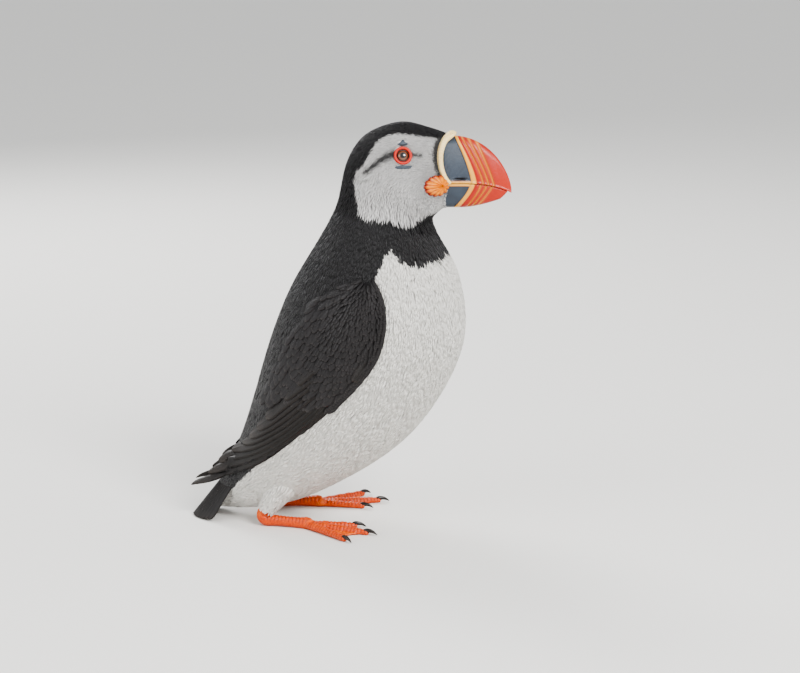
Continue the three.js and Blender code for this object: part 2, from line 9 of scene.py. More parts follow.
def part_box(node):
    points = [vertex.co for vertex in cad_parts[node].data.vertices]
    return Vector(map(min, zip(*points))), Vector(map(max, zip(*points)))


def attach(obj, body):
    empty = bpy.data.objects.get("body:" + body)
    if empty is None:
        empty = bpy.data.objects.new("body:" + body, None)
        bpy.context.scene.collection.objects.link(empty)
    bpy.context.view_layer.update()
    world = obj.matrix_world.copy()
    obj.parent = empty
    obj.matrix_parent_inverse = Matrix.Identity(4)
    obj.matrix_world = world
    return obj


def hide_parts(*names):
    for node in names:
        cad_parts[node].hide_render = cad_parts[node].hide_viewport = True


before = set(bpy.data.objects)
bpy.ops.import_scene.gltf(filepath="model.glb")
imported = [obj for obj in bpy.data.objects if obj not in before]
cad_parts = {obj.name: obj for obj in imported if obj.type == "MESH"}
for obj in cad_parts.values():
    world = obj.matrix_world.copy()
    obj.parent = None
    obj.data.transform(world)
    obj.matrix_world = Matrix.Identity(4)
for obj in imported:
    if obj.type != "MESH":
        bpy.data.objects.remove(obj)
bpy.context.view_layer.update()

# A life-size mounted model of an Atlantic puffin, standing on its tarsi with its tail tip on the floor.
# It faces +X, its right side is -Y, and every size below is in millimetres unless it says otherwise.
MM = 0.001

# ---- Camera ----
# A long lens at the height of the bird's breast, level with a seated viewer's eye, a little in
# front of its right side.
CAMERA_AIM = Vector((28, 0, 102)) * MM
CAMERA_DISTANCE = 1.2  # metres
CAMERA_SWING = math.radians(5)  # towards the bird's front
CAMERA_RISE = math.radians(11)

camera_data = bpy.data.cameras.new("camera")
camera_data.lens = 100
camera_data.sensor_width = 36
camera = bpy.data.objects.new("camera", camera_data)
bpy.context.scene.collection.objects.link(camera)
toward_camera = Vector((
    math.sin(CAMERA_SWING) * math.cos(CAMERA_RISE),
    -math.cos(CAMERA_SWING) * math.cos(CAMERA_RISE),
    math.sin(CAMERA_RISE),
))
camera.location = CAMERA_AIM + CAMERA_DISTANCE * toward_camera
camera.rotation_euler = toward_camera.to_track_quat("Z", "Y").to_euler()
bpy.context.scene.camera = camera

# ---- Skin ----
# One tanned skin over the whole bird, from the bill's base to the vent, with the folded forearms
# under it. It is modelled as a closed sheet drawn over the carved body, and the feathers are set in it.

# The girths that the skin is drawn over: x and z of each one's middle and how it leans, in degrees.
GIRTHS = np.array([
    (-75.1, 7.8, 114.0), (-53.6, 23.5, 114.0), (-32.3, 42.5, 127.4), (-4.6, 73.0, 147.2),
    (15.2, 111.5, 160.7), (20.9, 142.0, 168.6), (20.4, 163.0, 168.0), (20.7, 172.5, 163.3),
    (22.3, 180.3, 152.0), (25.3, 186.5, 141.7), (30.2, 191.5, 131.0), (39.3, 195.0, 115.5),
    (47.6, 194.1, 103.0), (55.2, 192.4, 93.0),
])
# The line in side view where the skin meets the bill's rim and, below it, the lower bill.
SKIN_EDGE = np.array([(53.5, 170), (53.3, 178), (55.4, 186.2), (52.6, 189), (50.8, 193.5),
                      (49.9, 199), (50.4, 204.5), (52.2, 209.5), (54.8, 213), (57, 217)])
ROWS_PER_GIRTH = 14
COLUMNS = 160
WING_FADE = (1.0, 2.3)  # girths between which the wing's bulk comes in
OFF_MIDDLE = 5  # past this distance from the middle, a point is on one side of the head


def curve_through(rows, places):
    """Rows of numbers, read at places between them along a smooth curve."""
    rows = np.asarray(rows, float)
    places = np.clip(np.asarray(places, float), 0, len(rows) - 1 - 1e-9)
    at = places.astype(int)
    t = (places - at)[:, None]
    near = [rows[np.clip(at + k, 0, len(rows) - 1)] for k in (-1, 0, 1, 2)]
    slope_in = (near[2] - near[0]) / 2
    slope_out = (near[3] - near[1]) / 2
    return (
        (2 * t**3 - 3 * t**2 + 1) * near[1] + (t**3 - 2 * t**2 + t) * slope_in
        + (3 * t**2 - 2 * t**3) * near[2] + (t**3 - t**2) * slope_out
    )


def cad_surface(*names):
    """The joined surface of CAD nodes, to cast rays at, in millimetres."""
    points = []
    faces = []
    for name in names:
        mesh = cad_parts[name].data
        start = len(points)
        points += [v.co / MM for v in mesh.vertices]
        faces += [[start + i for i in p.vertices] for p in mesh.polygons]
    return BVHTree.FromPolygons(points, faces)


def smooth(grid, passes, wraps=True):
    """A grid of values or points, averaged with its neighbours."""
    for _ in range(passes):
        above = np.concatenate([grid[:1], grid[:-1]])
        below = np.concatenate([grid[1:], grid[-1:]])
        grid = (above + 2 * grid + below) / 4
        if wraps:
            left = np.roll(grid, 1, 1)
            right = np.roll(grid, -1, 1)
        else:
            left = np.concatenate([grid[:, :1], grid[:, :-1]], 1)
            right = np.concatenate([grid[:, 1:], grid[:, -1:]], 1)
        grid = (left + 2 * grid + right) / 4
    return grid


def unit(vectors):
    """Vectors scaled to a length of 1."""
    return vectors / np.maximum(np.linalg.norm(vectors, axis=-1, keepdims=True), 1e-9)


def full_turn(count):
    """Angles spaced evenly round a circle."""
    return np.arange(count) * 2 * np.pi / count


def step_between(low, high, values):
    """0 below low, 1 above high, and a smooth step between them."""
    t = np.clip((values - low) / (high - low), 0, 1)
    return t * t * (3 - 2 * t)


def near_line(x, z, line):
    """The distance from points of the side view to a line of points."""
    nearest = np.full(np.shape(x), 1e9)
    for (x0, z0), (x1, z1) in zip(line[:-1], line[1:]):
        dx = x1 - x0
        dz = z1 - z0
        t = np.clip(((x - x0) * dx + (z - z0) * dz) / (dx * dx + dz * dz), 0, 1)
        nearest = np.minimum(nearest, np.hypot(x - x0 - t * dx, z - z0 - t * dz))
    return nearest


def inside(x, z, outline):
    """Which points of the side view lie inside an outline."""
    found = np.zeros(np.shape(x), bool)
    for (x0, z0), (x1, z1) in zip(outline, np.roll(outline, -1, axis=0)):
        if z0 != z1:
            crosses = (z0 > z) != (z1 > z)
            found ^= crosses & (x < x0 + (z - z0) * (x1 - x0) / (z1 - z0))
    return found


girth_rows = (len(GIRTHS) - 1) * ROWS_PER_GIRTH + 1
place_of_row = np.linspace(0, len(GIRTHS) - 1, girth_rows)
middle_x, middle_z, lean = curve_through(GIRTHS, place_of_row).T
lean = np.radians(lean)
turn_of_column = full_turn(COLUMNS)
middles = np.stack([middle_x, 0 * middle_x, middle_z], 1)[:, None]
to_back = np.stack([np.cos(lean), 0 * lean, np.sin(lean)], 1)[:, None]
rays = np.cos(turn_of_column)[None, :, None] * to_back
rays = rays + np.sin(turn_of_column)[None, :, None] * np.array([0, -1.0, 0])
ray_start = np.where(place_of_row < 6, 74.0, 40.0)  # outside the body, and outside the head


def cast_inwards(surface):
    """How far out from the girths' middles a surface lies, or nan where there is none."""
    reach = np.full((girth_rows, COLUMNS), np.nan)
    for i in range(girth_rows):
        for j in range(COLUMNS):
            start = middles[i, 0] + rays[i, j] * ray_start[i]
            hit = surface.ray_cast(Vector(start), Vector(-rays[i, j]), ray_start[i])
            if hit[0] is not None:
                reach[i, j] = ray_start[i] - hit[3]
    return reach


def fill_gaps(values, wraps=True):
    """A grid whose nan cells are filled from what is round them."""
    unknown = np.isnan(values)
    rows = np.arange(values.shape[0])
    filled = values.copy()
    for j in range(values.shape[1]):
        known = ~unknown[:, j]
        if known.any():
            filled[:, j] = np.interp(rows, rows[known], values[known, j])
    filled = np.where(np.isnan(filled), np.nanmean(filled), filled)
    for _ in range(120):
        filled = np.where(unknown, smooth(filled, 1, wraps), filled)
    return filled


body_reach = cast_inwards(cad_surface("trunk", "mantle", "neck", "head", "crown"))
wing_reach = cast_inwards(cad_surface("wing_right", "wing_left"))
hit_points = middles + rays * np.nan_to_num(body_reach)[..., None]
eye_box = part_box("eye_ring_right")
EYE = np.array((eye_box[0] + eye_box[1]) / 2) / MM  # the middle of the right eye's opening
rosette_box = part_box("gape_rosette_right")
ROSETTE = np.array((rosette_box[0] + rosette_box[1]) / 2) / MM
for hole, hole_radius in ((EYE, 11.5), (ROSETTE, 6.8)):
    in_hole = np.hypot(hit_points[..., 0] - hole[0], hit_points[..., 2] - hole[2]) < hole_radius
    body_reach[in_hole & (np.abs(hit_points[..., 1]) > OFF_MIDDLE)] = np.nan
edge_x = np.interp(hit_points[..., 2], SKIN_EDGE[:, 1], SKIN_EDGE[:, 0])
body_reach[(hit_points[..., 0] > edge_x - 1.5) & (place_of_row > 11)[:, None]] = np.nan
body_reach = fill_gaps(body_reach)
reached = middles + rays * body_reach[..., None]
edge_x = np.interp(reached[..., 2], SKIN_EDGE[:, 1], SKIN_EDGE[:, 0])
past_edge = step_between(-0.5, 3.5, reached[..., 0] - edge_x) * (place_of_row > 11)[:, None]
body_reach = body_reach * (1 - 0.22 * past_edge)
body_points = smooth(middles + rays * smooth(body_reach, 5)[..., None], 3)


class Chart:
    """A surface known on a grid of points. Feathers are laid on it by their place in the grid."""

    def __init__(self, points, wraps):
        self.wraps = wraps
        self.rows, self.columns = points.shape[:2]
        along = np.gradient(points, axis=0)
        if wraps:
            across = (np.roll(points, -1, 1) - np.roll(points, 1, 1)) / 2
        else:
            across = np.gradient(points, axis=1)
        normals = unit(np.cross(along, across))
        self.fields = np.concatenate([points, normals, along, across], 2)

    def at(self, row, column):
        """Point, outward normal, and the steps to the next row and the next column."""
        row = np.clip(row, 0, self.rows - 1.001)
        if not self.wraps:
            column = np.clip(column, 0, self.columns - 1.001)
        i = np.floor(row).astype(int)
        j = np.floor(column).astype(int)
        s = (row - i)[..., None]
        t = (column - j)[..., None]
        j_next = j + 1
        if self.wraps:
            j = j % self.columns
            j_next = j_next % self.columns
        field = self.fields
        read = (field[i, j] * (1 - t) + field[i, j_next] * t) * (1 - s)
        read = read + (field[i + 1, j] * (1 - t) + field[i + 1, j_next] * t) * s
        return read[..., :3], unit(read[..., 3:6]), read[..., 6:9], read[..., 9:]


plain_body = Chart(body_points, True)
if np.sum(plain_body.fields[..., 3:6] * rays) < 0:
    plain_body.fields[..., 3:6] *= -1

# Folds of the head: a furrow that runs back from each eye, a brow, and a full cheek.
EYE_FURROW = EYE[[0, 2]] + np.array([(-5.5, 0.2), (-9, -1.2), (-13, -3.6), (-17, -7), (-20.5, -10)])
side_x = body_points[..., 0]
side_z = body_points[..., 2]
on_side = step_between(6, 13, np.abs(body_points[..., 1]))
from_eye = np.hypot(side_x - EYE[0], side_z - EYE[2])
furrow_gap = near_line(side_x, side_z, EYE_FURROW)
folds = -1.4 * np.exp(-((furrow_gap / 1.4) ** 2))
folds += 0.6 * np.exp(-(((furrow_gap - 3.0) / 1.5) ** 2))
folds += 0.5 * np.exp(-(((from_eye - 7.5) / 2.2) ** 2)) * step_between(-2, 5, side_z - EYE[2])
folds -= 2.0 * np.exp(-((from_eye / 4.6) ** 4))
rosette_gap = np.hypot(side_x - ROSETTE[0] - 1, side_z - ROSETTE[2])
folds -= 0.6 * np.exp(-((rosette_gap / 5.0) ** 4))
cheek_gap = np.hypot(side_x - (EYE[0] - 2), side_z - (EYE[2] - 20))
folds += 0.5 * np.exp(-((cheek_gap / 9) ** 2))
head_points = body_points + (folds * on_side)[..., None] * plain_body.fields[..., 3:6]
GAPE_Z = 186.2
BILL_BASE = (7.9, 27.2, 13.6)  # half its width at the gape, and its height above and below that


def tuck_under_bill(points, slack):
    """Points of the head, narrowed towards the bill, and past the skin's edge drawn in under it."""
    x, y, z = points[..., 0], points[..., 1], points[..., 2]
    half_width, above, below = BILL_BASE
    from_gape = np.where(z > GAPE_Z, (z - GAPE_Z) / above, (GAPE_Z - z) / below)
    narrowing = np.where(z > GAPE_Z, 0.6, 0.45)
    half = half_width * (1 - narrowing * np.clip(from_gape, 0, 1) ** 1.7) + slack
    ahead = np.interp(z, SKIN_EDGE[:, 1], SKIN_EDGE[:, 0]) - x
    room = half + 13 * (1 - np.exp(-np.maximum(ahead, 0) / 10)) + 0.4 * np.maximum(ahead - 8, 0)
    y_in = (np.abs(y) + room - np.sqrt((np.abs(y) - room) ** 2 + 1.5)) / 2
    y_in = np.sign(y) * np.maximum(y_in, 0)
    narrowed = step_between(9.3, 10.5, place_of_row)[:, None] * step_between(164, 173, z)
    past = step_between(-0.5, 0.9, -ahead) * (place_of_row > 10.5)[:, None]
    z_in = np.clip(z, GAPE_Z - below + 0.8 - slack, GAPE_Z + above - 1.2 + slack)
    return np.stack([x, y + (y_in - y) * np.maximum(narrowed, past), z + (z_in - z) * past], -1)


head_points = tuck_under_bill(head_points, 0.2)
body = Chart(head_points, True)
body.fields[..., 3:6] *= np.sign(np.sum(body.fields[..., 3:6] * rays))

# How deep the coat is: velvet on the face, deeper on the neck, and deepest on the belly.
coat_depth = np.interp(
    place_of_row, [0, 0.6, 2, 5, 6.5, 8, 10, 12.3, 13], [1, 1.3, 1.5, 1.5, 1.4, 1.1, 0.9, 0.6, 0.6]
)

wing_bulk = np.nan_to_num(wing_reach - body_reach)
wing_bulk = np.clip(wing_bulk, 0, 8) * step_between(*WING_FADE, place_of_row)[:, None]
wing_bulk = smooth(wing_bulk, 2)
skin_points = head_points + body.fields[..., 3:6] * (wing_bulk - coat_depth[:, None])[..., None]
skin_points = tuck_under_bill(skin_points, -0.8)


# Markings of the plumage, in side view: the pale face, and the white underparts.
FACE = EYE[[0, 2]] + np.array([
    (15.5, 7.8), (10.5, 8.6), (5, 9.6), (0, 10.3), (-5, 10.2), (-9.7, 9.2), (-13, 7.4), (-16, 3.6),
    (-18.2, 0.2), (-21.5, -6.5), (-25.4, -10), (-26.6, -14), (-25.4, -23), (-23.6, -32.2),
    (-19.2, -35), (-13.5, -36.2), (-7.2, -34.8), (-3.8, -37), (0, -38.8), (6, -37.6), (12.5, -33.4),
    (20, -31.5), (34, -32), (34, 6.5),
])
UNDERPARTS = np.array([
    (90, 151), (54.5, 148.3), (50, 146.6), (46, 145.6), (41.5, 145.3), (36.3, 145.8), (32, 147.6),
    (28.5, 151), (25.4, 153.6), (22.2, 149.5), (20.0, 143), (14.5, 133), (6, 114), (-7, 92),
    (-27, 62), (-41, 42), (-53, 29), (-65, 16), (-79, 3), (-82, -20), (90, -20),
])
COLLAR_Z = 156  # the white doesn't reach up past the collar
FURROW_DARK = 0.92  # how dark the furrow behind the eye and the edge by the bill's rim are
RIM_DARK = 0.92


def marking_at(points, soft=1.0, ragged=0.0):
    """How much white, pale grey and black the plumage has at points, as rows of three."""
    x, y, z = points[..., 0], points[..., 1], points[..., 2]
    wander = ragged * np.sin(x * 1.9 + z * 2.3 + y * 1.3) * np.cos(z * 2.9 - x * 1.7 + y * 0.7)
    masks = []
    for outline in (UNDERPARTS, FACE):
        closed = np.concatenate([outline, outline[:1]])
        edge = near_line(x, z, closed)
        edge = np.where(inside(x, z, outline), edge, -edge) + wander
        masks.append(step_between(-soft, soft, edge))
    white, grey = masks
    white = white * (z < COLLAR_Z)
    # The furrow behind the eye: a dark grey line of the bird's own, deepened by painted shade of the fold
    # that it lies in.
    furrow = near_line(x, z, EYE_FURROW)
    furrow_width = np.interp(x, EYE_FURROW[::-1, 0], np.linspace(1.1, 2.5, len(EYE_FURROW)))
    on_one_side = np.abs(y) > OFF_MIDDLE
    dark = FURROW_DARK * np.exp(-((furrow / furrow_width) ** 2)) * on_one_side
    before_eye = near_line(x, z, EYE[[0, 2]] + np.array([(4.5, -0.3), (8.6, -0.9)]))
    dark = np.maximum(dark, 0.85 * np.exp(-((before_eye / 1.1) ** 2)) * on_one_side)
    # Along the bill's rim: the black cap's narrow edge, and painted shade at the foot of the raised rim.
    to_edge = np.interp(z, SKIN_EDGE[:, 1], SKIN_EDGE[:, 0]) - x
    rim_band = np.interp(z, [184, 206], [2.4, 4.4])
    by_rim = RIM_DARK * (1 - step_between(-0.7, 0.9, to_edge - rim_band))
    dark = np.maximum(dark, by_rim * step_between(184, 192, z))
    dark = np.maximum(dark, 0.35 * (1 - step_between(1.5, 5, np.abs(y))) * (z < 181) * (x > 30))
    grey = grey * (1 - dark)
    return np.stack([white, grey, np.clip(1 - white - grey, 0, 1)], -1)


def make_piece(name, points, face_sets, material, fields=None, bake_map=None):
    """A mesh object from points in millimetres and arrays of faces, with named fields of its points."""
    mesh = bpy.data.meshes.new(name)
    face_sets = [np.asarray(faces, np.int32) for faces in face_sets if len(faces)]
    corners = np.concatenate([faces.ravel() for faces in face_sets])
    totals = np.concatenate([np.full(len(faces), faces.shape[1], np.int32) for faces in face_sets])
    starts = np.concatenate([[0], np.cumsum(totals)[:-1]]).astype(np.int32)
    mesh.vertices.add(len(points))
    mesh.vertices.foreach_set("co", (np.asarray(points, float) * MM).astype(np.float32).ravel())
    mesh.loops.add(len(corners))
    mesh.loops.foreach_set("vertex_index", corners)
    mesh.polygons.add(len(totals))
    mesh.polygons.foreach_set("loop_start", starts)
    mesh.polygons.foreach_set("use_smooth", np.ones(len(totals), bool))
    mesh.update(calc_edges=True)
    for field_name, values in (fields or {}).items():
        values = np.asarray(values, np.float32)
        if values.ndim == 1:
            attribute = mesh.attributes.new(field_name, "FLOAT", "POINT")
            attribute.data.foreach_set("value", values)
        else:
            attribute = mesh.attributes.new(field_name, "FLOAT_VECTOR", "POINT")
            attribute.data.foreach_set("vector", values.ravel())
    if bake_map is not None:
        layer = mesh.uv_layers.new(name="OFBake")
        layer.uv.foreach_set("vector", np.asarray(bake_map, np.float32)[corners].ravel())
    mesh.materials.append(material)
    piece = bpy.data.objects.new(name, mesh)
    bpy.context.scene.collection.objects.link(piece)
    return piece


def grid_faces(rows, columns, wraps_rows=False, wraps_columns=False):
    """The four-sided faces between the points of a grid."""
    i, j = np.meshgrid(
        np.arange(rows if wraps_rows else rows - 1),
        np.arange(columns if wraps_columns else columns - 1),
        indexing="ij",
    )
    i_next = (i + 1) % rows
    j_next = (j + 1) % columns
    around = [i * columns + j, i * columns + j_next, i_next * columns + j_next, i_next * columns + j]
    return np.stack(around, -1).reshape(-1, 4)


def new_material(name, roughness, **sockets):
    """A material with its shader's plain values set, and its nodes, links and shader to build on."""
    material = bpy.data.materials.new(name)
    material.use_nodes = True
    shader = material.node_tree.nodes["Principled BSDF"]
    shader.inputs["Roughness"].default_value = roughness
    for socket, value in sockets.items():
        shader.inputs[socket.replace("_", " ")].default_value = value
    return material, material.node_tree, shader


def add_node(tree, kind, inputs=(), **settings):
    """A node with its settings made and its inputs set to values or linked to other nodes' outputs."""
    node = tree.nodes.new(kind)
    for setting, value in settings.items():
        setattr(node, setting, value)
    for key, value in dict(inputs).items():
        if isinstance(value, bpy.types.NodeSocket):
            tree.links.new(value, node.inputs[key])
        else:
            node.inputs[key].default_value = value
    return node


def field(tree, name, output="Vector"):
    """A named field of the mesh's points."""
    return add_node(tree, "ShaderNodeAttribute", attribute_name=name).outputs[output]


def field_parts(tree, name):
    """The three numbers of a named field."""
    return add_node(tree, "ShaderNodeSeparateXYZ", {0: field(tree, name)}).outputs


def math_node(tree, operation, *values):
    """The result of one step of arithmetic on values or outputs."""
    return add_node(tree, "ShaderNodeMath", enumerate(values), operation=operation).outputs[0]


def map_range(tree, value, low, high, at_low, at_high):
    """A value between low and high, stretched to run from at_low to at_high, and held past them."""
    inputs = {0: value, 1: low, 2: high, 3: at_low, 4: at_high}
    return add_node(tree, "ShaderNodeMapRange", inputs).outputs[0]


def mix_colours(tree, share, one, other, blend="MIX"):
    """A share of one colour or the other. The inputs' numbers are those of a colour mix."""
    inputs = {0: share, 6: one, 7: other}
    return add_node(tree, "ShaderNodeMix", inputs, data_type="RGBA", blend_type=blend).outputs[2]


def noise(tree, scale, detail=3.0, at=None, roughness=0.5):
    """Cloudy noise over the object, from 0 to 1."""
    where = at or add_node(tree, "ShaderNodeTexCoord").outputs["Object"]
    inputs = {"Vector": where, "Scale": scale, "Detail": detail, "Roughness": roughness}
    return add_node(tree, "ShaderNodeTexNoise", inputs).outputs[0]


def bump(tree, shader, height, strength, distance):
    """Raises the shader's surface by a height, at a distance in metres."""
    inputs = {"Strength": strength, "Distance": distance, "Height": height}
    relief = add_node(tree, "ShaderNodeBump", inputs)
    tree.links.new(relief.outputs[0], shader.inputs["Normal"])


def shader_group(name, inputs, outputs):
    """A node group with named inputs and outputs, and its input and output nodes."""
    group = bpy.data.node_groups.new(name, "ShaderNodeTree")
    for socket, kind in inputs:
        group.interface.new_socket(socket, in_out="INPUT", socket_type=kind)
    for socket, kind in outputs:
        group.interface.new_socket(socket, in_out="OUTPUT", socket_type=kind)
    return group, group.nodes.new("NodeGroupInput").outputs, group.nodes.new("NodeGroupOutput").inputs


def use_group(tree, group, **inputs):
    """The outputs of a node group placed in a material with its own values."""
    node = add_node(tree, "ShaderNodeGroup", node_tree=group)
    for key, value in inputs.items():
        socket = node.inputs[key.replace("_", " ")]
        if isinstance(value, bpy.types.NodeSocket):
            tree.links.new(value, socket)
        else:
            socket.default_value = value
    return node.outputs


def linear(red, green, blue):
    """A colour given as it looks on a screen, from 0 to 255, as the shader needs it."""
    shares = [c / 255 for c in (red, green, blue)]
    values = [c / 12.92 if c <= 0.04045 else ((c + 0.055) / 1.055) ** 2.4 for c in shares]
    return (*values, 1.0)


# Plumage colour: the three colours of the coat laid out by the marking field, broken up from
# feather to feather, and darkened towards each root with painted shade.
COLOUR = "NodeSocketColor"
VALUE = "NodeSocketFloat"
plumage, plumage_in, plumage_out = shader_group(
    "plumage",
    [("White", COLOUR), ("Grey", COLOUR), ("Black", COLOUR), ("Variation", VALUE), ("Root Shade", VALUE)],
    [("Color", COLOUR), ("Black Share", VALUE)],
)
marking = field_parts(plumage, "marking")
along_tuft = field_parts(plumage, "tuft")
colour = mix_colours(plumage, marking[0], plumage_in["Grey"], plumage_in["White"])
colour = mix_colours(plumage, marking[2], colour, plumage_in["Black"])
cloud = noise(plumage, 90, 2)
uneven = math_node(plumage, "ADD", math_node(plumage, "SUBTRACT", along_tuft[2], 0.5), cloud)
uneven = math_node(plumage, "MULTIPLY", math_node(plumage, "SUBTRACT", uneven, 0.5), plumage_in["Variation"])
# Painted shade: each feather darker towards its root, where the ones over it would shade it.
to_root = math_node(plumage, "SUBTRACT", 1.0, math_node(plumage, "POWER", along_tuft[0], 0.7))
shade = math_node(plumage, "MULTIPLY", to_root, plumage_in["Root Shade"])
shade = math_node(plumage, "SUBTRACT", 1.0, shade)
brightness = math_node(plumage, "MULTIPLY", shade, math_node(plumage, "ADD", 1.0, uneven))
grey_scale = add_node(plumage, "ShaderNodeCombineXYZ", {0: brightness, 1: brightness, 2: brightness})
colour = mix_colours(plumage, 1.0, colour, grey_scale.outputs[0], "MULTIPLY")
plumage.links.new(colour, plumage_out["Color"])
plumage.links.new(marking[2], plumage_out["Black Share"])

WHITE_FEATHER = linear(243, 240, 233)
GREY_FEATHER = linear(214, 212, 210)
BLACK_FEATHER = linear(20, 18, 20)

skin_material, tree, shader = new_material("skin", 0.8, Specular_IOR_Level=0.2)
coat = use_group(tree, plumage, White=WHITE_FEATHER, Grey=GREY_FEATHER, Black=BLACK_FEATHER, Variation=0.2)
tree.links.new(coat["Color"], shader.inputs["Base Color"])
bump(tree, shader, noise(tree, 900, 4), 0.5, 0.0004)

# Each end of the sheet is drawn together to a point: one inside the bill, one under the tail.
skin_rows = np.concatenate([
    np.repeat(skin_points[:1].mean(1, keepdims=True), COLUMNS, 1),
    skin_points,
    np.repeat(skin_points[-1:].mean(1, keepdims=True), COLUMNS, 1),
])
row_length = np.linalg.norm(np.diff(body_points, axis=0), axis=2).mean(1)
bake_row = np.concatenate([[0], np.cumsum(row_length)])
bake_row = bake_row / bake_row[-1]


def place_on_unwrap(row, column):
    """Where a place of the body's chart lies on the unwrap of the skin."""
    v = np.interp(row, np.arange(girth_rows), bake_row)
    return np.stack([0.01 + 0.98 * (column % COLUMNS) / COLUMNS, 0.01 + 0.98 * v], -1)


closed_rows, closed_columns = skin_rows.shape[:2]
flat_points = skin_rows.reshape(-1, 3)
skin_marks = marking_at(flat_points)
bulk_rows = np.concatenate([wing_bulk[:1], wing_bulk, wing_bulk[-1:]]).reshape(-1, 1)
skin_marks = skin_marks + (np.array([0, 0, 1.0]) - skin_marks) * step_between(0.5, 1.2, bulk_rows)
skin = make_piece(
    "skin", flat_points, [grid_faces(closed_rows, closed_columns, wraps_columns=True)], skin_material,
    {"marking": skin_marks, "tuft": np.tile((1.0, 0.5, 0.5), (len(flat_points), 1))},
)
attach(skin, "root")
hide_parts("trunk", "mantle", "neck", "head", "crown", "wing_right", "wing_left")

# ---- Small feathers of the head and neck ----
# Velvet feathers, a millimetre or two long on the face and longer down the neck, each set in the
# skin by its quill. Every one is a thin closed vane that lies back along the skin.
chance = np.random.default_rng(7)
BAKE_PATCH = 0.003  # how much of the unwrap one vane covers
VELVET = {"stations": (0, 0.4, 0.75, 1), "outline": (0.7, 1, 0.75, 0.1)}
LOCK = {"stations": (0, 0.38, 0.76, 1), "outline": (0.6, 1, 0.85, 0.2)}
RIDGED = ((-1, 0), (0, 1), (1, 0))  # across a vane, as shares of half its width and its thickness
FLOOR_GAP = 0.15  # feathers are kept this far above the floor


def spread_roots(chart, gap_at, tries=3.4):
    """Rows and columns of roots that lie at least a gap apart, where gap_at gives one above 0.
    More tries for each square of a gap fill the surface more evenly."""
    steps = chart.fields
    area = np.linalg.norm(np.cross(steps[..., 6:9], steps[..., 9:]), axis=-1)
    i, j = np.indices(area.shape)
    gaps = gap_at(i.astype(float), j.astype(float), steps[..., :3])
    weight = np.where(gaps > 0, area / np.maximum(gaps, 0.1) ** 2, 0).ravel()
    count = int(weight.sum() * tries)
    cell = chance.choice(len(weight), count, p=weight / weight.sum())
    row = np.clip(i.ravel()[cell] + chance.uniform(-0.5, 0.5, count), 0, chart.rows - 1.01)
    column = j.ravel()[cell] + chance.uniform(-0.5, 0.5, count)
    if not chart.wraps:
        column = np.clip(column, 0, chart.columns - 1.01)
    points = chart.at(row, column)[0]
    gaps = gap_at(row, column, points)
    coarse = gaps.max()
    keys = np.floor(points / coarse).astype(int).tolist()
    taken = {}
    kept = []
    neighbours = [(a, b, c) for a in (-1, 0, 1) for b in (-1, 0, 1) for c in (-1, 0, 1)]
    for n, (point, gap, (a, b, c)) in enumerate(zip(points.tolist(), gaps.tolist(), keys)):
        if gap <= 0:
            continue
        least = gap * gap
        free = True
        for da, db, dc in neighbours:
            for other in taken.get((a + da, b + db, c + dc), ()):
                dx = point[0] - other[0]
                dy = point[1] - other[1]
                dz = point[2] - other[2]
                if dx * dx + dy * dy + dz * dz < least:
                    free = False
                    break
            if not free:
                break
        if free:
            taken.setdefault((a, b, c), []).append(point)
            kept.append(n)
    return row[kept], column[kept]


def per_vane(value, count):
    """A value for each vane, from one for all or one each."""
    return np.broadcast_to(np.asarray(value, float), (count,)).copy()


def lay_vanes(chart, row, column, length, width, shape, section=RIDGED, thickness=0.3, sink=1.0,
              lift=0.0, turn=0.0, bend=0.0, roll=0.0, flow=-1, cup=0.0, rise=1.6):
    """Points of vanes laid along a chart from their roots: an array of vane, station, section, xyz.
    Length to lift are millimetres: sink is the root's depth and lift the tip's height."""
    count = len(row)
    length, width, sink, lift = (per_vane(v, count) for v in (length, width, sink, lift))
    turn, bend, roll, thickness = (per_vane(v, count) for v in (turn, bend, roll, thickness))
    stations = np.array(shape["stations"], float)
    outline = np.array(shape["outline"], float)
    across, up = np.array(section, float).T
    points = np.empty((count, len(stations), len(section), 3))
    row, column = row.copy(), column.copy()
    for k, t in enumerate(stations):
        place, normal, along, around = chart.at(row, column)
        forward = unit(flow * along - normal * np.sum(flow * along * normal, -1, keepdims=True))
        sideways = np.cross(forward, normal)
        angle = (turn + bend * t)[:, None]
        heading = np.cos(angle) * forward + np.sin(angle) * sideways
        side = np.cross(heading, normal)
        side = np.cos(roll)[:, None] * side + np.sin(roll)[:, None] * normal
        height = -sink * (1 - t) ** rise + lift * t**1.5
        half = (width / 2 * outline[k])[:, None, None] * side[:, None] * across[None, :, None]
        thick = (thickness * (0.45 + 0.55 * outline[k]))[:, None, None] * normal[:, None]
        thick = thick * (up - cup * across**2)[None, :, None]
        points[:, k] = (place + height[:, None] * normal)[:, None] + half + thick
        if k + 1 < len(stations):
            step = (length * (stations[k + 1] - t))[:, None] * heading
            e = np.sum(along * along, -1)
            f = np.sum(along * around, -1)
            g = np.sum(around * around, -1)
            one = np.sum(step * along, -1)
            other = np.sum(step * around, -1)
            det = np.maximum(e * g - f * f, 1e-9)
            row = row + (g * one - f * other) / det
            column = column + (e * other - f * one) / det
    points[..., 2] = np.maximum(points[..., 2], FLOOR_GAP)
    return points


def vane_faces(count, stations, around):
    """Faces of closed vanes: their sides, and a cap at each end."""
    ring = np.arange(around)
    following = (ring + 1) % around
    k = np.arange(stations - 1)[:, None]
    sides = np.stack([
        k * around + ring, k * around + following,
        (k + 1) * around + following, (k + 1) * around + ring,
    ], -1).reshape(-1, 4)
    caps = np.stack([ring[::-1], (stations - 1) * around + ring])
    start = (np.arange(count) * stations * around)[:, None, None]
    return [(sides[None] + start).reshape(-1, 4), (caps[None] + start).reshape(-1, around)]


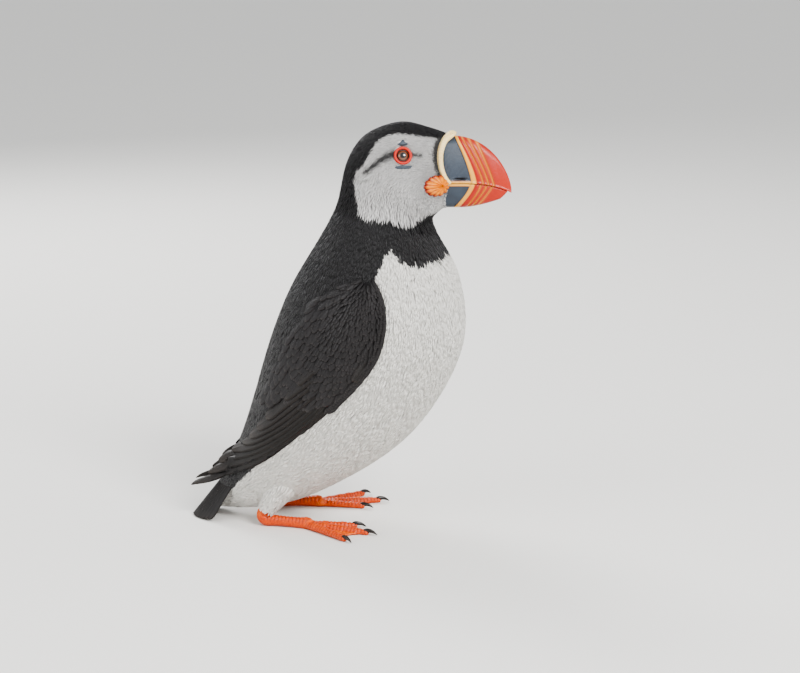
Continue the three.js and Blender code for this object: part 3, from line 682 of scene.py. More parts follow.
def feather_piece(name, vanes, shape, section, marks, bake_places, material, chosen=None):
    """A coat piece of joined vanes, with each one's marking and its place on the skin's unwrap."""
    count, stations, around = vanes.shape[:3]
    t = np.array(shape["stations"], float)
    across = np.array(section, float)[:, 0]
    luck = chance.random(count) if chosen is None else chosen
    tuft = np.empty((count, stations, around, 3))
    tuft[..., 0] = t[None, :, None]
    tuft[..., 1] = (across / 2 + 0.5)[None, None, :]
    tuft[..., 2] = luck[:, None, None]
    marks = np.broadcast_to(marks[:, None, None], (count, stations, around, 3))
    bake = np.empty((count, stations, around, 2))
    bake[..., 0] = bake_places[:, None, None, 0] + BAKE_PATCH * across[None, None, :] / 2
    bake[..., 1] = bake_places[:, None, None, 1] - BAKE_PATCH * t[None, :, None]
    piece = make_piece(
        name, vanes.reshape(-1, 3), vane_faces(count, stations, around), material,
        {"marking": marks.reshape(-1, 3), "tuft": tuft.reshape(-1, 3)}, np.clip(bake, 0, 1).reshape(-1, 2),
    )
    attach(piece, "root")
    return piece


# Barbs: fine lines that run out from a vane's shaft to its edges.
barbs, barbs_in, barbs_out = shader_group(
    "barbs", [("Lines", VALUE), ("Slant", VALUE), ("Roughen", VALUE)], [("Height", VALUE), ("Shaft", VALUE)]
)
place_on_vane = field_parts(barbs, "tuft")
off_shaft = math_node(barbs, "ABSOLUTE", math_node(barbs, "SUBTRACT", place_on_vane[1], 0.5))
swept_back = math_node(barbs, "MULTIPLY", off_shaft, barbs_in["Slant"])
wander = math_node(barbs, "MULTIPLY", noise(barbs, 700, 2), barbs_in["Roughen"])
line_at = math_node(barbs, "ADD", math_node(barbs, "SUBTRACT", place_on_vane[0], swept_back), wander)
wave = math_node(barbs, "SINE", math_node(barbs, "MULTIPLY", line_at, barbs_in["Lines"]))
barbs.links.new(wave, barbs_out["Height"])
barbs.links.new(map_range(barbs, off_shaft, 0.035, 0.0, 0.0, 1.0), barbs_out["Shaft"])


def plumage_material(name, variation, root_shade, lines=7.0, relief=0.00012):
    """White and grey feathers are matt, and black ones have a soft gloss."""
    material, tree, shader = new_material(
        name, 0.7, Specular_IOR_Level=0.35, Sheen_Weight=0.12, Sheen_Roughness=0.4,
        Subsurface_Weight=0.3, Subsurface_Radius=(1, 1, 1), Subsurface_Scale=0.0008,
    )
    coat = use_group(
        tree, plumage, White=WHITE_FEATHER, Grey=GREY_FEATHER, Black=BLACK_FEATHER,
        Variation=variation, Root_Shade=root_shade,
    )
    tree.links.new(coat["Color"], shader.inputs["Base Color"])
    gloss = map_range(tree, coat["Black Share"], 0.0, 1.0, 0.82, 0.48)
    tree.links.new(gloss, shader.inputs["Roughness"])
    vane = use_group(tree, barbs, Lines=lines, Slant=5.0, Roughen=0.3)
    bump(tree, shader, vane["Height"], 0.35, relief)
    return material


velvet_material = plumage_material("velvet_feathers", 0.22, 0.3)
FACE_OPENINGS = (  # middle, forward of the eye and above it, and the half lengths left bare
    (0.0, 0.0, 4.75, 4.75), (0.1, 6.7, 2.3, 0.9), (0.0, -6.3, 4.2, 0.7),
    (ROSETTE[0] - EYE[0] + 1.0, ROSETTE[2] - EYE[2], 5.5, 4.9),
)
VELVET_START = 6.2  # girth where the neck's velvet begins
NECK_END = 8.6  # girths where the neck's feathers end, and where the face's begin
FACE_START = 10.4


def openness(points):
    """How far points of the head are outside its bare openings, 1 at their edges."""
    nearest = np.full(points.shape[:-1], 9.0)
    for forward, above, half_x, half_z in FACE_OPENINGS:
        dx = (points[..., 0] - EYE[0] - forward) / half_x
        dz = (points[..., 2] - EYE[2] - above) / half_z
        nearest = np.minimum(nearest, np.hypot(dx, dz))
    return np.where(np.abs(points[..., 1]) > OFF_MIDDLE, nearest, 9.0)


def velvet_gap(row, column, points):
    """The least gap between roots of the velvet, 0 where there is none."""
    place = row / ROWS_PER_GIRTH
    gap = np.interp(place, [6.2, 8, 10, 12.3], [0.85, 0.62, 0.46, 0.4])
    gap = gap * np.interp(np.hypot(points[..., 0] - EYE[0], points[..., 2] - EYE[2]), [5, 9], [0.85, 1])
    to_edge = np.interp(points[..., 2], SKIN_EDGE[:, 1], SKIN_EDGE[:, 0]) - points[..., 0]
    under_bill = np.where(points[..., 2] > GAPE_Z, 0.1, -0.5)
    wanted = (place > VELVET_START) & (to_edge > under_bill) & (openness(points) > 1)
    return np.where(wanted, gap, 0)


row, column = spread_roots(body, velvet_gap)
place = row / ROWS_PER_GIRTH
roots = body.at(row, column)[0]
size = np.interp(place, [6.2, 7.5, 9, 10.5, 12.3], [6.2, 4.0, 2.8, 2.3, 1.7])
size = size * np.interp(openness(roots), [1, 2.2], [0.55, 1]) * chance.uniform(0.85, 1.15, len(row))
velvet = lay_vanes(
    body, row, column, size, np.interp(size, [0.8, 3, 7], [0.42, 0.62, 1.3]), VELVET,
    thickness=np.interp(size, [1, 6], [0.08, 0.2]),
    sink=np.interp(row, np.arange(girth_rows), coat_depth) + 0.1,
    lift=chance.uniform(-0.12, 0.2, len(row)) * np.interp(size, [1, 5], [0.5, 1]),
    turn=chance.normal(0, 0.12, len(row)), roll=chance.normal(0, 0.22, len(row)),
)
marks = marking_at(velvet[:, 2].mean(1) + chance.normal(0, 0.3, roots.shape), 0.5, 0.3)
bake_places = place_on_unwrap(row, column)
region = np.where(place > FACE_START, 0, np.where(place > NECK_END, 1, 2))
for number, name in enumerate(("feathers_face", "feathers_head", "feathers_neck")):
    of_piece = region == number
    piece = feather_piece(
        name, velvet[of_piece], VELVET, RIDGED, marks[of_piece], bake_places[of_piece], velvet_material
    )

# ---- Feathers of the breast, belly and back ----
# Body feathers with open, silky edges, each a round tip of narrow locks that fan out from one
# quill. They overlap like tiles from the collar down to the tail, white below and black above.
LOCKS_PER_FEATHER = 10
LOCK_WIDTH = 0.165  # as a share of its feather's length
LOCK_THICKNESS = 0.09
FAN = 0.34  # radians to either side
BODY_PLACES = (0.25, 6.5)  # girths that they are rooted between
FRONT_EDGE_X = -30  # ahead of it, feathers end where the wing begins, instead of lying over it
wing_cover = Chart(np.repeat(wing_bulk[..., None], 3, 2), True)


def body_gap(row, column, points):
    """The least gap between roots of body feathers, 0 under the wings and on the head."""
    place = row / ROWS_PER_GIRTH
    gap = np.interp(place, [0.2, 1, 3, 5, 6.4], [1.9, 2.2, 2.45, 2.3, 1.7])
    under_wing = wing_cover.at(row, column)[0][..., 0] > 1.0
    wanted = (place > BODY_PLACES[0]) & (place < BODY_PLACES[1]) & ~under_wing
    return np.where(wanted, gap, 0)


row, column = spread_roots(body, body_gap, tries=7.5)
place = row / ROWS_PER_GIRTH
roots = body.at(row, column)[0]
size = np.interp(place, [0.2, 1, 3, 5, 6.4], [8, 12, 12, 10, 7.5]) * chance.uniform(0.9, 1.1, len(row))
to_wing = np.full(len(row), 99.0)  # how far behind each root the wing begins
for reach in range(9, 0, -1):
    ahead = row - reach / np.linalg.norm(body.at(row, column)[2], axis=1)
    to_wing = np.where(wing_cover.at(ahead, column)[0][..., 0] > 1.0, reach, to_wing)
size = np.where(roots[:, 0] > FRONT_EDGE_X, np.minimum(size, np.maximum(to_wing + 1.5, 3.0)), size)
stray = chance.normal(0, 0.4, roots.shape) * np.where(roots[:, :1] < -22, 0.4, 1)
luck = chance.random(len(row))
lean_way = chance.normal(0, 0.08, len(row))
lock = np.tile(np.linspace(-1, 1, LOCKS_PER_FEATHER), len(row))
locks = len(lock)
row, column, size, stray, place, luck, lean_way = (
    np.repeat(v, LOCKS_PER_FEATHER, 0) for v in (row, column, size, stray, place, luck, lean_way)
)
lock_length = size * (1 - 0.2 * lock**2) * chance.uniform(0.88, 1.08, locks)
body_locks = lay_vanes(
    body, row, column, lock_length, size * LOCK_WIDTH * chance.uniform(0.85, 1.2, locks), LOCK,
    thickness=LOCK_THICKNESS, sink=np.interp(row, np.arange(girth_rows), coat_depth) * 0.9,
    lift=chance.uniform(-0.04, 0.1, locks) - 0.1 * lock**2,
    turn=lean_way + lock * FAN + chance.normal(0, 0.06, locks), bend=-lock * FAN * 1.15,
    roll=chance.normal(0, 0.06, locks) - 0.08 * lock, rise=2.1,
)
marks = marking_at(body_locks[:, 2].mean(1) + stray, 0.5, 0.3)
bake_places = place_on_unwrap(row, column)
luck = np.clip(luck + chance.normal(0, 0.12, locks), 0, 1)
body_material = plumage_material("body_feathers", 0.07, 0.04, 9.0, 0.00018)
BODY_REGIONS = (
    "feathers_vent", "feathers_belly", "feathers_breast", "feathers_throat", "feathers_collar",
    "feathers_back", "feathers_rump",
)
white_region = np.digitize(place, [2, 3.1, 4.1])
black_region = 6 - np.digitize(place, [2.3, 4.6])
region = np.where(marks[:, 0] > 0.5, white_region, black_region)
for number, name in enumerate(BODY_REGIONS):
    of_piece = region == number
    piece = feather_piece(
        name, body_locks[of_piece], LOCK, RIDGED, marks[of_piece], bake_places[of_piece],
        body_material, luck[of_piece],
    )

# ---- Wings ----
# Each folded wing is a stack of stiff quill feathers under rows of coverts. The inner quills lie
# over the outer ones, and the longest reach the tail. The shoulder feathers lie over its top edge.
WING_TOP = np.array([  # in side view, from the shoulder to the tip
    (11.2, 140.5), (-0.8, 134), (-12.8, 122.5), (-22.8, 106), (-30.3, 91), (-37.3, 77.5),
    (-45.3, 64.5), (-52.3, 54), (-59.3, 46), (-68.3, 37.8), (-77.8, 28.5), (-86.8, 19.8),
])
WING_EDGE = np.array([
    (16.7, 139.5), (22.4, 129), (23.6, 114), (19.2, 98.7), (9.8, 85.4), (-2.1, 73),
    (-13.4, 62.9), (-26.2, 52.6), (-40, 41.3), (-55.3, 31), (-70.8, 23), (-86.2, 18.4),
])
WING_ROWS = 111
WING_COLUMNS = 61
WING_REACH = (-0.35, 1.25)  # how far the chart runs past the top edge and the lower edge
OVER_COAT = 1.1  # how far the wing's edges stand out from the body
OUTSIDE_Y = -90  # clear of the bird's right side

wing_surface = cad_surface("wing_right")
side_surface = cad_surface("trunk", "mantle", "neck")
along_wing = np.linspace(0, 1, WING_ROWS)
top_line = curve_through(WING_TOP, along_wing * (len(WING_TOP) - 1))
edge_line = curve_through(WING_EDGE, along_wing * (len(WING_EDGE) - 1))
share_across = np.linspace(*WING_REACH, WING_COLUMNS)[None, :, None]
side_view = top_line[:, None] * (1 - share_across) + edge_line[:, None] * share_across
depth_of_wing = np.full(side_view.shape[:2], np.nan)
share = share_across[..., 0]
free_tip = step_between(0.7, 0.95, along_wing)[:, None] * np.maximum(np.abs(share - 0.5) - 0.5, 0)
past_shoulder = step_between(0.38, 0.48, along_wing)[:, None]
over_coat = OVER_COAT * np.maximum(step_between(-0.1, 0.05, share), past_shoulder)
for i in range(WING_ROWS):
    for j in range(WING_COLUMNS):
        if free_tip[i, j] > 0.02:
            continue
        start = Vector((side_view[i, j, 0], OUTSIDE_Y, side_view[i, j, 1]))
        wing_hit = wing_surface.ray_cast(start, Vector((0, 1, 0)), -OUTSIDE_Y)[0]
        side_hit = side_surface.ray_cast(start, Vector((0, 1, 0)), -OUTSIDE_Y)[0]
        depths = [wing_hit.y] if wing_hit else []
        if side_hit:
            depths.append(side_hit.y - over_coat[i, j])
        if depths:
            depth_of_wing[i, j] = min(depths)
depth_of_wing = smooth(fill_gaps(depth_of_wing.T, False).T, 4, False)
wing_points = np.stack([side_view[..., 0], depth_of_wing, side_view[..., 1]], -1)
wing = Chart(wing_points, False)
wing.fields[..., 3:6] *= -np.sign(wing.fields[..., 4:5])


def wing_column(share):
    """The chart's column for a share of the way from the wing's top edge to its lower edge."""
    return (np.asarray(share) - WING_REACH[0]) / (WING_REACH[1] - WING_REACH[0]) * (WING_COLUMNS - 1)


def wing_row(share):
    """The chart's row for a share of the way from the shoulder to the wing's tip."""
    return np.asarray(share) * (WING_ROWS - 1)


body_grid = body.fields[..., :3].reshape(-1, 3)
right_half = np.flatnonzero(body_grid[:, 1] < 2)[::5]  # every fifth point is near enough
BATCH = 500


def unwrap_place(points):
    """The unwrap's place nearest to each point, found on the body's chart."""
    found = np.empty((len(points), 2))
    grid = body_grid[right_half]
    for start in range(0, len(points), BATCH):
        some = points[start:start + BATCH]
        gaps = ((some[:, None] - grid[None]) ** 2).sum(-1)
        nearest = right_half[gaps.argmin(1)]
        found[start:start + BATCH] = place_on_unwrap(nearest // COLUMNS, nearest % COLUMNS)
    return found


def both_sides(vanes, section, bake_places):
    """Vanes of the bird's right and the same ones on its left, turned right side out: for each
    side its name, its vanes, their section, and their places on the unwrap."""
    mirrored = (vanes * (1, -1, 1))[:, :, ::-1]
    yield "right", vanes, section, bake_places
    yield "left", mirrored, section[::-1], (1, 0) + bake_places * (-1, 1)


VANE = {
    "stations": (0, 0.2, 0.4, 0.6, 0.75, 0.87, 0.95, 1),
    "outline": (0.35, 0.8, 0.97, 1, 0.95, 0.78, 0.52, 0.15),
}
TIP_START = 0.86  # where a quill's sides begin to close, as a share of its length
QUILL_STATIONS = np.concatenate([
    np.linspace(0, TIP_START, 20), [0.89, 0.92, 0.945, 0.965, 0.982, 0.993, 1],
])
into_tip = np.clip((QUILL_STATIONS - TIP_START) / 0.14, 0, 1)
QUILL = {"stations": QUILL_STATIONS, "outline": (1 - into_tip**2.2) ** 0.5 * 0.96 + 0.04}
# Across a stiff vane: its two webs, the shaft that stands up between them, and its underside.
WITH_SHAFT = ((-1, 0), (-0.5, 0.55), (-0.09, 0.7), (0, 1.15), (0.09, 0.7), (0.5, 0.55), (1, 0), (0, -0.35))


def paired_feathers(name, vanes, shape, material):
    """Black feathers of the right side and their mirror image on the left, as two coat pieces."""
    bake_places = unwrap_place(vanes[:, 0].mean(1))
    marks = np.tile((0.0, 0.0, 1.0), (len(vanes), 1))
    luck = chance.random(len(vanes))
    for side, of_side, section, places in both_sides(vanes, WITH_SHAFT, bake_places):
        piece = feather_piece(name + "_" + side, of_side, shape, section, marks, places, material, luck)


def wing_feathers(name, rows, columns, material, **laid):
    """Rows of feathers laid on both wings."""
    vanes = lay_vanes(wing, rows, columns, shape=VANE, section=WITH_SHAFT, flow=1, **laid)
    paired_feathers(name, vanes, VANE, material)


def wing_material(name, black, edge, edge_share, lines=150.0, slant=0.45):
    """Stiff feathers with a pale painted highlight along their edges and tips, a dark shaft and fine
    slanting barbs.
    """
    material, tree, shader = new_material(name, 0.5, Specular_IOR_Level=0.4)
    coat = use_group(
        tree, plumage, White=WHITE_FEATHER, Grey=GREY_FEATHER, Black=black, Variation=0.35, Root_Shade=0.35
    )
    vane = use_group(tree, barbs, Lines=lines, Slant=slant, Roughen=3 / lines)
    spot = field_parts(tree, "tuft")
    off_shaft = math_node(tree, "ABSOLUTE", math_node(tree, "SUBTRACT", spot[1], 0.5))
    # Painted highlight: a paler fringe along each vane's edges and over its tip, broken up by noise.
    rim = map_range(tree, off_shaft, 0.36, 0.5, 0.0, edge_share)
    end = map_range(tree, spot[0], 0.86, 1.0, 0.0, edge_share)
    painted_edge_highlight = math_node(tree, "MULTIPLY", math_node(tree, "MAXIMUM", rim, end), noise(tree, 260, 3))
    colour = mix_colours(tree, painted_edge_highlight, coat["Color"], edge)
    colour = mix_colours(tree, math_node(tree, "MULTIPLY", vane["Shaft"], 0.6), colour, linear(12, 10, 10))
    tree.links.new(colour, shader.inputs["Base Color"])
    inner = map_range(tree, off_shaft, 0.36, 0.46, 1.0, 0.0)
    relief = math_node(tree, "ADD", vane["Height"], vane["Shaft"])
    bump(tree, shader, math_node(tree, "MULTIPLY", relief, inner), 0.5, 0.00005)
    return material


quill_material = wing_material("quill_feathers", linear(30, 26, 25), linear(84, 76, 70), 0.6, 700.0, 0.09)
tail_material = wing_material("tail_quills", linear(27, 24, 24), linear(74, 68, 64), 0.5, 380.0, 0.14)
covert_material = wing_material("wing_coverts", linear(29, 26, 27), linear(84, 78, 76), 0.6)

# The quills, from the innermost, on top, to the outermost, which makes the wing's lower edge. Each
# one's lower edge keeps its distance from the wing's, so their tips step down the wing's top edge.
QUILLS = 10
QUILL_SPACING = 3.7  # between the lower edges of neighbours
QUILL_TILT = 0.17  # how steeply each one's lower edge stands over the next one
order = np.arange(QUILLS)
outward = order / (QUILLS - 1)
wing_width = np.linalg.norm(top_line - edge_line, axis=1)
from_edge = QUILL_SPACING * (QUILLS - 1 - order)
quill_width = np.interp(outward, [0, 0.4, 1], [9.3, 8.9, 6.5])
quill_root = np.interp(outward, [0, 1], [0.3, 0.34])
widest = int(np.argmax(wing_width))
quill_tip = np.interp(-(from_edge + 0.62 * quill_width), -wing_width[widest:], along_wing[widest:])
quill_tip = np.maximum(quill_tip, np.interp(order, [QUILLS - 5, QUILLS - 1], [0, 1.0]))


def lay_quills():
    """The stack of quills of the right wing, each along a line of the chart from root to tip."""
    stations = QUILL["stations"]
    across, up = np.array(WITH_SHAFT, float).T
    vanes = np.empty((QUILLS, len(stations), len(WITH_SHAFT), 3))
    for n in range(QUILLS):
        share_along_wing = quill_root[n] + (quill_tip[n] - quill_root[n]) * stations
        slim = 1 - 0.45 * step_between(0.78, 1.0, share_along_wing)
        half = quill_width[n] / 2 * slim
        width_here = np.interp(share_along_wing, along_wing, wing_width)
        fanned = np.interp(share_along_wing, [0.3, 0.62], [0.72, 1])
        shares = 1 - (from_edge[n] * fanned + 0.9 * half) / width_here
        least = 0.08 + 0.4 * step_between(0.85, 1.0, share_along_wing)
        shares = (shares + least + np.sqrt((shares - least) ** 2 + 0.01)) / 2
        place, normal, _, _ = wing.at(wing_row(share_along_wing), wing_column(shares))
        heading = unit(np.gradient(place, axis=0))
        side = unit(np.cross(heading, normal))
        towards_edge = side * -np.sign(side[:, 2:])
        half = half * QUILL["outline"] * np.interp(stations, [0, 0.18], [0.2, 1])
        height = -0.4 - 1.6 * (1 - stations) ** 3
        offset = half[:, None, None] * side[:, None] * across[None, :, None]
        lower = across[None, :] * np.sign(np.sum(towards_edge * side, -1))[:, None]
        tilted = lower * half[:, None] * QUILL_TILT + (up * 0.28 - 0.1 * across**2)[None, :]
        shaft_line = place + height[:, None] * normal
        vanes[n] = shaft_line[:, None] + offset + tilted[..., None] * normal[:, None]
    vanes[..., 1] = np.minimum(vanes[..., 1], -0.6)
    vanes[..., 2] = np.maximum(vanes[..., 2], FLOOR_GAP)
    return vanes


paired_feathers("quills", lay_quills(), QUILL, quill_material)

# Coverts: rows of feathers like tiles, the smallest at the shoulder and the greater ones over the
# quills' bases. The rows run from the leading edge, where the feathers are narrowest, to the top.
COVERTS_END = 0.365  # where the last row is rooted, as a share of the wing's length
WING_LENGTH = 165.0
COVERT_SLIMNESS = 0.36  # their width, as a share of their length
covert = {key: [] for key in ("row", "column", "length", "width", "lift", "turn")}
root = -0.01
number = 0
while root < COVERTS_END:
    length = float(np.interp(root, [0, 0.12, 0.24, 0.32, COVERTS_END], [5.0, 6.2, 8.0, 11.0, 15.5]))
    width = length * COVERT_SLIMNESS
    across_wing = float(np.interp(root + 0.02, along_wing, wing_width))
    count = max(int(across_wing * 1.06 / (0.62 * width)), 4)
    shares = 1.0 - 0.97 * (np.arange(count) + 0.5 * (number % 2)) / count
    at_edge = step_between(0.82, 1.0, shares)
    covert["row"].append(wing_row(root + 0.045 * np.sin(np.pi * shares)) + chance.normal(0, 0.25, count))
    covert["column"].append(wing_column(shares) + chance.normal(0, 0.15, count))
    covert["length"].append(length * (1 - 0.3 * at_edge) * chance.uniform(0.93, 1.08, count))
    covert["width"].append(width * (1 - 0.25 * at_edge) * chance.uniform(0.95, 1.08, count))
    covert["lift"].append(chance.uniform(0.0, 0.11, count) + 0.08 * at_edge)
    covert["turn"].append(chance.normal(0, 0.07, count))
    root += length * 0.4 / WING_LENGTH
    number += 1
covert = {key: np.concatenate(values) for key, values in covert.items()}
wing_feathers(
    "coverts", covert["row"], covert["column"], covert_material, length=covert["length"],
    width=covert["width"], lift=covert["lift"], turn=covert["turn"], sink=1.2, thickness=0.15, cup=0.5,
)

# The leading edge: a close double row of small feathers that lie along it and wrap round it.
EDGE_COUNT = 64
EDGE_ROWS = (  # name, how far along it starts, and how far across it lies and above the wing
    ("edge_coverts_under", 0.0, 1.0, 0.05), ("edge_coverts", 0.003, 0.955, 0.22),
)
edge_place = np.linspace(0.0, 0.44, EDGE_COUNT)
for name, start, share, height in EDGE_ROWS:
    lengths = np.interp(edge_place, [0, 0.2, 0.44], [4.5, 5.5, 8.5]) * chance.uniform(0.95, 1.05, EDGE_COUNT)
    wing_feathers(
        name, wing_row(edge_place + start), wing_column(np.full(EDGE_COUNT, share)), covert_material,
        length=lengths, width=lengths * 0.42, lift=height + chance.uniform(0, 0.06, EDGE_COUNT),
        turn=chance.normal(0, 0.03, EDGE_COUNT), sink=0.9, thickness=0.2, cup=0.5,
    )

# Alula: three short stiff feathers on the thumb, which lies at the wrist by the leading edge. They
# are the same brown black as the quills.
wing_feathers(
    "alula", wing_row([0.27, 0.285, 0.3]), wing_column([0.9, 0.94, 0.98]), quill_material,
    length=[15, 13, 11], width=[4.2, 4.0, 3.6], lift=[0.5, 0.4, 0.3], turn=[0.0, 0.02, 0.04], sink=0.4,
    thickness=0.3, cup=0.5,
)


# Scapulars: long soft shoulder feathers, rooted along the wing's top edge. They close the gap
# between the wing and the back.
def scapular_gap(row, column, points):
    """The least gap between their roots, 0 off the shoulder."""
    along = row / (WING_ROWS - 1)
    across = column / (WING_COLUMNS - 1) * (WING_REACH[1] - WING_REACH[0]) + WING_REACH[0]
    return np.where((along < 0.42) & (across > -0.12) & (across < 0.26 - 0.25 * along), 2.9, 0)


row, column = spread_roots(wing, scapular_gap)
long = np.interp(row / (WING_ROWS - 1), [0, 0.25, 0.42], [9, 13, 17]) * chance.uniform(0.92, 1.08, len(row))
wing_feathers(
    "scapulars", row, column, covert_material, length=long, width=long * 0.4,
    lift=chance.uniform(0.1, 0.3, len(row)), turn=chance.normal(0.0, 0.05, len(row)), sink=1.0,
    thickness=0.2, cup=0.8,
)

# ---- Tail ----
# Sixteen short stiff feathers, fanned from the rump, the middle pair uppermost and longest. Their
# tips rest on the floor behind the bird.
TAIL_FEATHERS = 16
TAIL_HALF_WIDTH = 3.3  # of one feather
TAIL_ROOT = np.array([-54.5, 0, 41.5])
tail_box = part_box("tail")
TAIL_TIP = np.array([tail_box[0].x / MM + 0.9, 0, 0.75])
tail_heading = unit(TAIL_TIP - TAIL_ROOT)
tail_up = np.array([tail_heading[2], 0, -tail_heading[0]])
stations = QUILL["stations"]
across, up = np.array(WITH_SHAFT, float).T
tail_vanes = np.empty((TAIL_FEATHERS, len(stations), len(WITH_SHAFT), 3))


def tail_line(aside):
    """Where a feather's shaft runs, from its share of the way out from the middle of the fan."""
    line = TAIL_ROOT + (TAIL_TIP - TAIL_ROOT) * (stations * (1 - 0.05 * aside**2))[:, None]
    line[:, 0] += 7 * aside**2 * stations**1.5
    line[:, 1] = aside * (5 + 10.2 * stations**0.8)
    return line - (2.2 * aside**2 * (1 - stations * 0.6))[:, None] * tail_up


for n in range(TAIL_FEATHERS):
    middle = (TAIL_FEATHERS - 1) / 2
    aside = (n - middle) / middle
    heading = unit(np.gradient(tail_line(aside), axis=0))
    outwards = unit(tail_line(aside + 0.05) - tail_line(aside - 0.05))
    top = unit(np.cross(heading, outwards))
    top = top * np.sign(top @ tail_up)[:, None]
    side = np.cross(heading, top)
    path = tail_line(aside) - 0.3 * abs(n - middle) * top
    half = TAIL_HALF_WIDTH * (0.6 + 0.4 * np.minimum(stations / 0.5, 1)) * QUILL["outline"]
    offset = half[:, None, None] * side[:, None] * across[None, :, None]
    rise = (up * 0.5 - 0.3 * across**2)[None, :, None] * top[:, None]
    tail_vanes[n] = path[:, None] + offset + rise
tail_vanes[..., 2] = np.maximum(tail_vanes[..., 2], 0.0)
marks = np.tile((0.0, 0.0, 1.0), (TAIL_FEATHERS, 1))
bake_places = unwrap_place(tail_vanes[:, 0].mean(1))
tail = feather_piece("tail_feathers", tail_vanes, QUILL, WITH_SHAFT, marks, bake_places, tail_material)
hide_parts("tail")

# ---- Bill ----
# Two horny sheaths, flat from side to side and very deep. Each has a slate plate at its base, a
# raised yellow band in front of it, and a vermilion end with three shallow grooves.
upper_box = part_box("bill_upper")
lower_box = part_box("bill_lower")
TIP_X = upper_box[1].x / MM + 0.2
TIP_Z = 181.3
CULMEN_START = 55.2  # along the bill, where the culmen, the gape line and the gonys begin to bend
GONYS_START = 61.2
GAPE_DROP = 5.6
GONYS_RISE = 7.2
BILL_HALF_WIDTH = 8.0
BILL_EDGE = 0.7
PLATE_END = 66.6  # measured along the gape line
BAND_END = 69.3
GROOVES = (72.6, 75.4, 78.2)
LOWER_BANDS = (65.9, 68.3, 71.3, 74.2, 77.0)  # the same on the lower half, which is set further back
BILL_ROWS = 210
NOSTRIL = (60.5, 2.3, 3.4, 0.55)  # along, above the gape line, half its length, half its height
UPPER_RIDGE = np.array([  # where each line across the plate leaves the gape, and reaches the culmen
    (48.2, 44.2), (57.2, 52.2), (63.2, 55.2), (68.2, 58), (72.5, 60.4), (75.3, 64), (78.1, 68.2),
    (81.2, 74.7), (83.5, 80.2), (85.4, 84.2), (86.8, 86.6), (87.4, 87.4),
])
LOWER_RIDGE = np.array([
    (47.2, 47.2), (59.2, 52.2), (67.1, 57.6), (70.3, 62.7), (73.6, 65.8), (76.8, 69.4), (80.2, 75.2),
    (83, 80.2), (85.1, 83.8),
])


def share_along(x, start):
    """How far x is along the bill, from 0 at its start to 1 at the tip."""
    return np.clip((x - start) / (TIP_X - start), 0, 1)


def culmen_at(x):
    """The height of the bill's upper edge."""
    rise = upper_box[1].z / MM - TIP_Z
    return TIP_Z + rise * (1 - share_along(x, CULMEN_START) ** 2.15) ** 0.62


def gape_at(x):
    """The height of the line where the two halves meet."""
    return GAPE_Z - GAPE_DROP * share_along(x, CULMEN_START) ** 3


def gonys_at(x):
    """The height of the bill's lower edge."""
    return lower_box[0].z / MM + GONYS_RISE * share_along(x, GONYS_START) ** 1.6


def closed_tube(rows, sides):
    """The faces of a tube of rings of points, and its two flat ends."""
    caps = np.stack([np.arange(sides)[::-1], (rows - 1) * sides + np.arange(sides)])
    return [grid_faces(rows, sides, wraps_columns=True), caps]


def turned(face_sets):
    """The same faces, each turned over."""
    return [faces[:, ::-1] for faces in face_sets]


